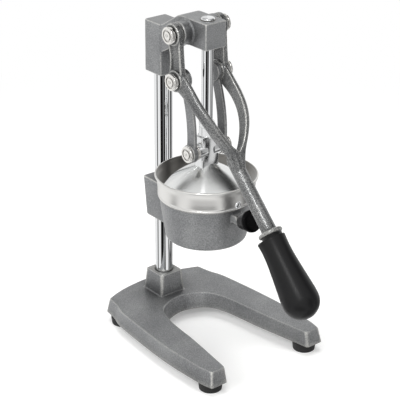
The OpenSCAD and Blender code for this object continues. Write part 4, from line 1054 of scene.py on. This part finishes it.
crosshead = {"halfX": 13.3, "halfY": 8.4, "bottom": 239.7, "top": 282.1, "edge": 1.5, "neck": 10.0, "neckTop": 293.1,
             "neckFillet": 1.4, "neckEdge": 0.8, "boss": 9.6, "bossEnd": 17.3, "bossEdge": 0.7, "bossHole": 5.1,
             "bow": 1.3, "corner": 1.6}


def crossheadShapes(spec):
    low, high, corner = spec["bottom"], spec["top"], spec["corner"]
    levels = [(low, 0.3)] + [(low + (high - low) * k, 0) for k in (0.02, 0.5)] + highLevels(high, spec["edge"], 5)

    def loop(height, i):
        hx, hy = spec["halfX"] - i, spec["halfY"] - i
        front = [(hx * (1 - k / 6), hy - spec["bow"] * (1 - k / 6) ** 2) for k in range(13)]
        radii = ([corner] + [0] * 11 + [corner]) * 2
        return [(x, rodReach + f) for x, f in rounded([(x, -f) for x, f in reversed(front)] + front, radii, 5)]

    neck = [(0, high - 3), (spec["neck"] + spec["neckFillet"], high - 1)]
    neck += [(spec["neck"] + i, high - 0.05 + d) for i, d in edgeRound(spec["neckFillet"])]
    neck += highRim(spec["neck"], spec["neckTop"], spec["neckEdge"]) + [(0, spec["neckTop"])]
    boss = [(0, 5), (spec["boss"], 5), *highRim(spec["boss"], spec["bossEnd"], spec["bossEdge"]),
        (spec["bossHole"], spec["bossEnd"]), (0, spec["bossEnd"])]
    return [stack(loop, levels), turned(neck, rodAxis, upright, 80),
        *[crossTurned(boss, way, *pivots["crosshead"]) for way in (-1, 1)]]


piece("plungerCrosshead", crossheadShapes(crosshead), materials["castChrome"], "plunger", ["crosshead"], "crosshead")

cone = {  # shares are of the radius, and of the fall from the peak to the rim
    "radius": 57.0, "rim": 206.2, "rise": 41.4, "wall": 2.6, "hub": 18.5, "hubBottom": 232.7, "screwHole": 6.1,
    "screwDepth": 3.1,
    "shares": [(0, 0), (0.06, 0.012), (0.132, 0.055), (0.22, 0.115), (0.35, 0.21), (0.5, 0.33), (0.65, 0.47),
        (0.8, 0.64), (0.91, 0.82), (0.975, 0.96), (1, 1)],
}


def coneShape(spec):
    radius, rim, rise, wall = spec["radius"], spec["rim"], spec["rise"], spec["wall"]
    side = spline([(r * radius, rim + rise - d * rise) for r, d in spec["shares"]], 8)
    outer = [p for p in side if p[1] > rim + 0.9]
    lip = [(radius, rim + 0.5), (radius - 0.5, rim), (radius - wall, rim)]
    scale = [(radius - wall) / radius, (rise - wall) / rise]
    inner = [(r * scale[0], rim + (z - rim) * scale[1]) for r, z in reversed(outer)
             if r * scale[0] > spec["hub"] and z > rim + 1.5]
    floor, hole, roof = spec["hubBottom"], spec["screwHole"], spec["hubBottom"] + spec["screwDepth"]
    hub = [(spec["hub"], floor + 1), (spec["hub"] - 1, floor), (hole, floor), (hole, roof), (0, roof)]
    return turned(outer + lip + inner + hub, rodAxis, upright, 160)


piece("pressCone", [coneShape(cone)], materials["spunChrome"], "plunger", ["press_cone"], "press_cone", sharp=60)
print("plunger ready")


# Links: bowed bars with rounded edges between two eyes, run together and bored

link = {
    "inner": 21.8, "outer": 26.2, "width": 15.5, "bow": 6.2, "corner": 1.7,
    "upperEye": 12.2, "upperInner": 20.2, "lowerEye": 11.6, "lowerOuter": 29.0,
    "innerEdge": 0.8, "upperEdge": 1.0, "lowerEdge": 1.1, "upperHole": (21.2, 40), "lowerHole": (18, 40),
    "voxel": 0.5, "passes": 3,
}


def linkShapes(spec, way):
    loops, half, steps = [], spec["width"] / 2, 24
    section = rounded([(-half, spec["inner"]), (half, spec["inner"]), (half, spec["outer"]), (-half, spec["outer"])],
        [spec["corner"]] * 4, 4)
    for k in range(steps + 1):
        t = k / steps
        reach, height = [a + (b - a) * t for a, b in zip(pivots["link"], pivots["crosshead"])]
        reach += spec["bow"] * 4 * t * (1 - t)
        loops.append([at(way * x, reach + a, height) for a, x in section])
    upper = eyeProfile(spec["upperEye"], spec["upperInner"], spec["outer"], spec["innerEdge"], spec["upperEdge"])
    lower = eyeProfile(spec["lowerEye"], spec["inner"], spec["lowerOuter"], spec["innerEdge"], spec["lowerEdge"])
    return [skin(loops), crossTurned(upper, way, *pivots["link"]), crossTurned(lower, way, *pivots["crosshead"])]


for name, node, way in (("linkLeft", "link_left", -1), ("linkRight", "link_right", 1)):
    holes = [pinHole(link["upperHole"], way, *pivots["link"]), pinHole(link["lowerHole"], way, *pivots["crosshead"])]
    item = casting(name, linkShapes(link, way), link["voxel"], link["passes"], holes)
    finishPiece(item, iron, "links", [node], "link")
print("links ready")


# Lever: two bars with recessed sides between the eyes, bowed arms that meet in a fork, shaft and collar. Each arm is
# one skin along the chord from the link's eye to the collar, crowned on its outer side and flat on its inner one.
# "side" gives (share of the chord, middle, half depth), the last two as shares of the chord, and the edges give
# (share of the chord, share of the way across from the middle to the eye's outer face).

lever = {
    "collar": (208.7, 193.2), "fall": 45.5, "eyeOuter": 38.8, "eyeInner": 29.2, "crankInner": 26.6, "eye": 13.6,
    "eyeInnerEdge": 1.9, "eyeOuterEdge": 1.3, "shaft": 9.5, "root": 8.9, "rootDistance": 99.5, "fillet": 3.2,
    "collarRadius": 15.4, "collarThickness": 5.0, "collarEdge": 1.9, "barRim": 2.6, "barRecess": 2.6, "barInset": 1.6,
    "barSlope": 1.3, "pinHole": (20, 45), "studHole": (-25.1, 6), "voxel": 0.68, "passes": 3,
    "armEnd": 0.66, "armLoops": 56, "armCrown": 0.6, "crownSteps": 14, "armCorner": (0.9, 0.99, 0.88),
    "side": [(0.0, 0.006, 0.062), (0.05, 0.02, 0.058), (0.138, 0.043, 0.045), (0.233, 0.058, 0.04), (0.3, 0.061, 0.04),
        (0.361, 0.055, 0.04), (0.423, 0.041, 0.04), (0.485, 0.023, 0.038), (0.537, 0.005, 0.037), (0.6, -0.02, 0.034),
        (0.66, -0.03, 0.026)],
    "outerEdge": [(0, 0.985), (0.1, 0.985), (0.17, 0.98), (0.238, 0.94), (0.304, 0.86), (0.366, 0.745), (0.428, 0.58),
        (0.49, 0.39), (0.545, 0.27), (0.6, 0.2), (0.66, 0.14)],
    "innerEdge": [(0, 0.76), (0.1, 0.75), (0.17, 0.745), (0.238, 0.705), (0.304, 0.625), (0.366, 0.51), (0.428, 0.35),
        (0.476, 0.18), (0.508, 0.0), (0.54, -0.08), (0.6, -0.08), (0.66, -0.08)],
}
collarPlace, shaftAxis = at(0, *lever["collar"]), slantAxis(-lever["fall"])


def tableAt(table, s, column):
    for a, b in zip(table, table[1:]):
        if s <= b[0]:
            t = (s - a[0]) / (b[0] - a[0])
            return a[column] + (b[column] - a[column]) * t
    return table[-1][column]


def armShape(spec, way):
    crank, collar = pivots["link"], spec["collar"]
    run, fall = collar[0] - crank[0], crank[1] - collar[1]
    chord = math.hypot(run, fall)
    c, s = run / chord, fall / chord
    start, along, above = at(0, *crank), Vector((0, -c, -s)), Vector((0, -s, c))
    side, outer, inner = (spline(spec[k], 8) for k in ("side", "outerEdge", "innerEdge"))
    indent, full, flat = spec["armCorner"]
    turns = [math.pi * (n / spec["crownSteps"] - 0.5) for n in range(spec["crownSteps"] + 1)]
    loops = []
    for k in range(spec["armLoops"]):
        share = spec["armEnd"] * k / (spec["armLoops"] - 1)
        xo, xi = tableAt(outer, share, 1) * spec["eyeOuter"], tableAt(inner, share, 1) * spec["eyeOuter"]
        mid, half = tableAt(side, share, 1) * chord, tableAt(side, share, 2) * chord
        crown = (xo - xi) * spec["armCrown"]
        section = [(xo - crown + crown * math.cos(a), mid + half * math.sin(a)) for a in turns]
        section += [(xi + indent, mid + half * full), (xi, mid + half * flat), (xi, mid - half * flat),
                    (xi + indent, mid - half * full)]
        loops.append([start + Vector((way * x * mm, 0, 0)) + along * (share * chord * mm) + above * (v * mm)
                      for x, v in section])
    return skin(loops)


def leverShapes(spec):
    shapes = []
    for way in (-1, 1):
        shapes += [armShape(spec, way), barShape(spec, way)]
        for place, low in ((pivots["head"], spec["eyeInner"]), (pivots["link"], spec["crankInner"])):
            eye = eyeProfile(spec["eye"], low, spec["eyeOuter"], spec["eyeInnerEdge"], spec["eyeOuterEdge"])
            shapes.append(crossTurned(eye, way, *place))
    far, root, radius, half = spec["rootDistance"], spec["root"], spec["shaft"], spec["collarThickness"] / 2
    shaft = [(0, -far - root)] + [(root * math.sin(math.pi / 12 * k), -far - root * math.cos(math.pi / 12 * k))
        for k in range(1, 7)] + [(radius, 0), (radius, 1), (0, 1)]
    collar = barrel(spec["collarRadius"], -half, half, spec["collarEdge"])
    size = spec["fillet"]
    fillet = [(0, -half - 4)] + [(radius + size * (1 - math.sin(math.pi / 10 * k)),
        -half - size * (1 - math.cos(math.pi / 10 * k)) + 0.2) for k in range(5, -1, -1)] + [(0, 0)]
    return shapes + [turned(profile, collarPlace, shaftAxis, segments)
        for profile, segments in ((shaft, 72), (collar, 96), (fillet, 72))]


def barShape(spec, way):  # upright bar between the eyes, with a raised rim down each edge of its outer side
    (ra, za), (rb, zb) = pivots["head"], pivots["link"]
    eye = spec["eye"]
    front = spline([(ra + eye * 0.9, za), ((ra + rb) / 2 + eye * 0.88, (za + zb) / 2), (rb + eye * 0.9, zb)], 10)
    rear = spline([(ra - eye * 0.9, za), ((ra + rb) / 2 - eye * 0.6, (za + zb) / 2), (rb - eye * 0.9, zb)], 10)
    low, high = spec["eyeInner"] + 0.4, spec["eyeOuter"] - spec["barInset"]
    floor, rim = high - spec["barRecess"], spec["barRim"]
    foot = rim + spec["barSlope"]
    loops = []
    for (fr, fz), (rr, rz) in zip(front, rear):
        z = (fz + rz) / 2
        section = rounded([(rr, low), (fr, low), (fr, high), (fr - rim, high), (fr - foot, floor), (rr + foot, floor),
            (rr + rim, high), (rr, high)], [1.2, 1.2, 1.3, 1.0, 0.8, 0.8, 1.0, 1.3], 4)
        loops.append([at(way * x, reach, z) for reach, x in section])
    return skin(loops)


leverHoles = [pinHole(lever["pinHole"], way, *pivots[key]) for way in (-1, 1) for key in ("head", "link")]
leverHoles.append(bore(bores["gripStud"], lever["studHole"], collarPlace, shaftAxis, 40))
forkedLever = casting("forkedLever", leverShapes(lever), lever["voxel"], lever["passes"], leverHoles)
finishPiece(forkedLever, materials["thickHammeredEnamelOnCastIron"], "lever", ["lever"], "lever")
print("lever ready")


# Grip: flared at its mouth, narrow behind it, then swelling to a ball end, with a short throat up to the collar

grip = {"start": (210.0, 186.3), "fall": 47.5, "length": 105.0, "flare": 18.4, "neck": 17.2, "end": 22.9, "edge": 1.6,
        "throat": 13.0, "throatFrom": 2.55, "throatTo": 16}


def gripShapes(spec):
    turn = math.radians(spec["fall"])
    start, axis, across = at(0, *spec["start"]), slantAxis(-spec["fall"]), Vector((1, 0, 0))
    below = Vector((0, math.sin(turn), -math.cos(turn)))
    ball = spec["length"] - spec["end"]
    neck, end, flare, edge = spec["neck"], spec["end"], spec["flare"], spec["edge"]
    side = spline([(flare - 0.2, edge), (neck + (flare - neck) * 0.35, ball * 0.07), (neck, ball * 0.18),
        (neck + (end - neck) * 0.12, ball * 0.36), (neck + (end - neck) * 0.5, ball * 0.62),
        (neck + (end - neck) * 0.92, ball * 0.88), (end, ball)], 6)
    side = [(flare - edge - 0.3, 0), (flare - edge * 0.55, 0.25), (flare - 0.35, edge * 0.55)] + side
    side += [(end * math.cos(math.pi / 32 * k), ball + end * math.sin(math.pi / 32 * k)) for k in range(1, 16)]
    count = 96
    loops = []
    for radius, along in side:
        loop = []
        for k in range(count):
            a = 2 * math.pi * k / count
            r = radius
            if along < ball * 0.2 and radius > neck:  # the flare is fuller on its lower side
                r = neck + (radius - neck) * (0.35 + 0.65 * (0.5 + 0.5 * math.cos(a)))
            loop.append(start + axis * (along * mm) + (below * math.cos(a) + across * math.sin(a)) * (r * mm))
        loops.append(loop)
    radius, low, high = spec["throat"], spec["throatFrom"], spec["throatTo"]
    throat = [(0, low), (radius - 0.5, low), (radius, low + 0.5), (radius, high), (0, high)]
    return [skin(loops), turned(throat, collarPlace, shaftAxis, 72)]


piece("lowerGrip", gripShapes(grip), materials["satinPhenolicPlastic"], "lever", ["grip"], "grip", sharp=60)
print("grip ready")


# Hidden fasteners and bearings keep their CAD shapes

keptNodes = {
    "foot_screws": "zincPlatedSteel", "column_bolt": "zincPlatedSteel", "column_washer": "zincPlatedSteel",
    "head_set_screws": "blackenedSteel", "holder_set_screws": "blackenedSteel", "guide_bush_upper": "sinteredBronze",
    "guide_bush_lower": "sinteredBronze", "knob_stud": "zincPlatedSteel", "grip_stud": "zincPlatedSteel",
    "crosshead_studs": "zincPlatedSteel", "cone_screw": "zincPlatedSteel",
}
for node, key in keptNodes.items():
    item = bpy.data.objects[node]
    item.data.materials.clear()
    item.data.materials.append(materials[key])


# Studio: a pale floor that fades into white, soft lights, and boards round the press for the chrome to mirror.
# Each band of boards is a list of (heading at which a board ends, grey level), in degrees from the camera, and it is
# seen in mirrors alone: "boards" low down, "around" above and below them, and "above" overhead.

studio = {
    "background": "#ffffff", "floor": "#e9e9e8", "floorGlow": 0.28, "floorHalf": 6, "fadeFrom": 0.35, "fadeTo": 1.1,
    "fill": 0.4, "boardBlend": 1.2,
    "boards": [(-147, 0.8), (-91, 1.0), (-74, 0.12), (-37, 1.0), (-5, 0.01), (8, 0.2), (25, 0.01), (62, 1.0),
        (75, 0.01), (94, 0.8), (114, 0.04), (140, 0.35), (180, 0.5)],
    "around": [(-147, 0.85), (-88, 1.0), (-60, 0.8), (42, 1.0), (66, 0.03), (92, 0.5), (104, 0.03), (125, 0.35),
        (180, 1.0)],
    "above": [(-140, 0.4), (-122, 0.9), (-108, 0.04), (-97, 0.3), (90, 0.95), (107, 0.04), (150, 0.02), (180, 0.95)],
    "boardMiddle": -0.4, "boardHalf": 0.13, "aboveFrom": 0.45, "aboveTo": 0.6,
    "lights": {
        "leftLight": {"place": (-1.6, 0.2, 0.9), "aim": (0, 0, 0.25), "size": 1.2, "power": 18, "mirrored": False},
        "topLight": {"place": (0.1, 0.4, 1.9), "aim": (0, 0, 0.2), "size": 1.2, "power": 18, "mirrored": False},
        "keyLight": {"place": (-1.26, -0.95, 1.75), "aim": (0, 0, 0.25), "size": 0.34, "power": 9.5, "mirrored": True},
        "frontLight": {"place": (0.85, -1.35, 0.32), "aim": (0, 0, 0.1), "size": 0.6, "power": 19, "mirrored": False},
    },
}


def makeWorld(spec):
    world = bpy.data.worlds.new("studio")
    bpy.context.scene.world = world
    world.use_nodes = True
    tree = world.node_tree
    tree.nodes.clear()
    heading = addNode(tree, "ShaderNodeTexCoord")
    turn = math.radians(camera["azimuth"])
    toCamera = (math.sin(turn), -math.cos(turn), 0)
    toRight = (math.cos(turn), math.sin(turn), 0)
    ahead = addNode(tree, "ShaderNodeVectorMath", {"operation": "DOT_PRODUCT", 1: toCamera},
        {0: heading.outputs["Generated"]})
    aside = addNode(tree, "ShaderNodeVectorMath", {"operation": "DOT_PRODUCT", 1: toRight},
        {0: heading.outputs["Generated"]})
    angle = addNode(tree, "ShaderNodeMath", {"operation": "ARCTAN2"},
        {0: aside.outputs["Value"], 1: ahead.outputs["Value"]})
    share = addNode(tree, "ShaderNodeMapRange", {"in:From Min": -math.pi, "in:From Max": math.pi},
        {"Value": angle.outputs[0]})
    ramps = {}
    for key in ("boards", "around", "above"):
        ramps[key] = addNode(tree, "ShaderNodeValToRGB", links={"Fac": share.outputs["Result"]})
        stops, before, blend = [], None, spec["boardBlend"]
        for end, level in spec[key]:
            stops.append((0.0 if before is None else (before + blend) / 360 + 0.5, level))
            stops.append((min((end - blend) / 360 + 0.5, 1.0), level))
            before = end
        setRamp(ramps[key], stops)
    height = addNode(tree, "ShaderNodeSeparateXYZ", links={0: heading.outputs["Generated"]})
    rise = addNode(tree, "ShaderNodeMapRange", {"in:From Min": spec["aboveFrom"], "in:From Max": spec["aboveTo"]},
        {"Value": height.outputs["Z"]})
    off = addNode(tree, "ShaderNodeMath", {"operation": "SUBTRACT", 1: spec["boardMiddle"]}, {0: height.outputs["Z"]})
    away = addNode(tree, "ShaderNodeMath", {"operation": "ABSOLUTE"}, {0: off.outputs[0]})
    level = addNode(tree, "ShaderNodeMath", {"operation": "LESS_THAN", 1: spec["boardHalf"]}, {0: away.outputs[0]})
    low = addNode(tree, "ShaderNodeMix", {"data_type": "RGBA"}, {0: level.outputs[0],
        6: ramps["around"].outputs["Color"], 7: ramps["boards"].outputs["Color"]})
    room = addNode(tree, "ShaderNodeMix", {"data_type": "RGBA"}, {0: rise.outputs["Result"],
        6: low.outputs[2], 7: ramps["above"].outputs["Color"]})
    sight = addNode(tree, "ShaderNodeLightPath")
    mirrored = addNode(tree, "ShaderNodeBackground", {"in:Strength": 1.0}, {"Color": room.outputs[2]})
    fill = addNode(tree, "ShaderNodeBackground", {"in:Color": (1, 1, 1, 1), "in:Strength": spec["fill"]})
    seen = addNode(tree, "ShaderNodeBackground", {"in:Color": linearColour(spec["background"]), "in:Strength": 1.0})
    lit = addNode(tree, "ShaderNodeMixShader", links={0: sight.outputs["Is Glossy Ray"], 1: fill.outputs[0],
        2: mirrored.outputs[0]})
    both = addNode(tree, "ShaderNodeMixShader", links={0: sight.outputs["Is Camera Ray"], 1: lit.outputs[0],
        2: seen.outputs[0]})
    addNode(tree, "ShaderNodeOutputWorld", links={"Surface": both.outputs[0]})


def makeStage(spec):
    mesh, half = bpy.data.meshes.new("floor"), spec["floorHalf"]
    mesh.from_pydata([(-half, -half, 0), (half, -half, 0), (half, half, 0), (-half, half, 0)], [], [(0, 1, 2, 3)])
    floor = addObject("floor", mesh)
    material, tree = newMaterial("paleFloor")
    place = addNode(tree, "ShaderNodeTexCoord")
    away = addNode(tree, "ShaderNodeVectorMath", {"operation": "LENGTH"}, {0: place.outputs["Object"]})
    fade = addNode(tree, "ShaderNodeMapRange", {"interpolation_type": "SMOOTHSTEP", "in:From Min": spec["fadeFrom"],
        "in:From Max": spec["fadeTo"]}, {"Value": away.outputs["Value"]})
    glow = addNode(tree, "ShaderNodeMapRange", {"in:To Min": spec["floorGlow"], "in:To Max": 1.0},
        {"Value": fade.outputs["Result"]})
    colour = addNode(tree, "ShaderNodeMix", {"data_type": "RGBA", 6: linearColour(spec["floor"]), 7: (0, 0, 0, 1)},
        {0: fade.outputs["Result"]})
    shader = addNode(tree, "ShaderNodeBsdfPrincipled",
        {"in:Roughness": 0.9, "in:Specular IOR Level": 0.0, "in:Emission Color": (1, 1, 1, 1)},
        {"Base Color": colour.outputs[2], "Emission Strength": glow.outputs["Result"]})
    addNode(tree, "ShaderNodeOutputMaterial", links={"Surface": shader.outputs["BSDF"]})
    mesh.materials.append(material)
    floor.visible_glossy = False
    for name, entry in spec["lights"].items():
        data = bpy.data.lights.new(name, "AREA")
        data.shape = "SQUARE"
        data.size = entry["size"]
        data.energy = entry["power"]
        light = addObject(name, data)
        place, aim = Vector(entry["place"]), Vector(entry["aim"])
        light.matrix_world = Matrix.Translation(place) @ (aim - place).to_track_quat("-Z", "Y").to_matrix().to_4x4()
        light.visible_glossy = entry["mirrored"]


notMirrored = ("forkedLever", "linkLeft", "linkRight", "cupHolder", "juiceBowl", "juiceStrainer", "pressCone",
    "clampKnob")
for name in notMirrored:  # the column and rod mirror the boards alone, as they do in the photograph
    bpy.data.objects[name].visible_glossy = False

makeWorld(studio)
makeStage(studio)
bpy.context.scene.view_settings.view_transform = "Standard"
print("studio ready")
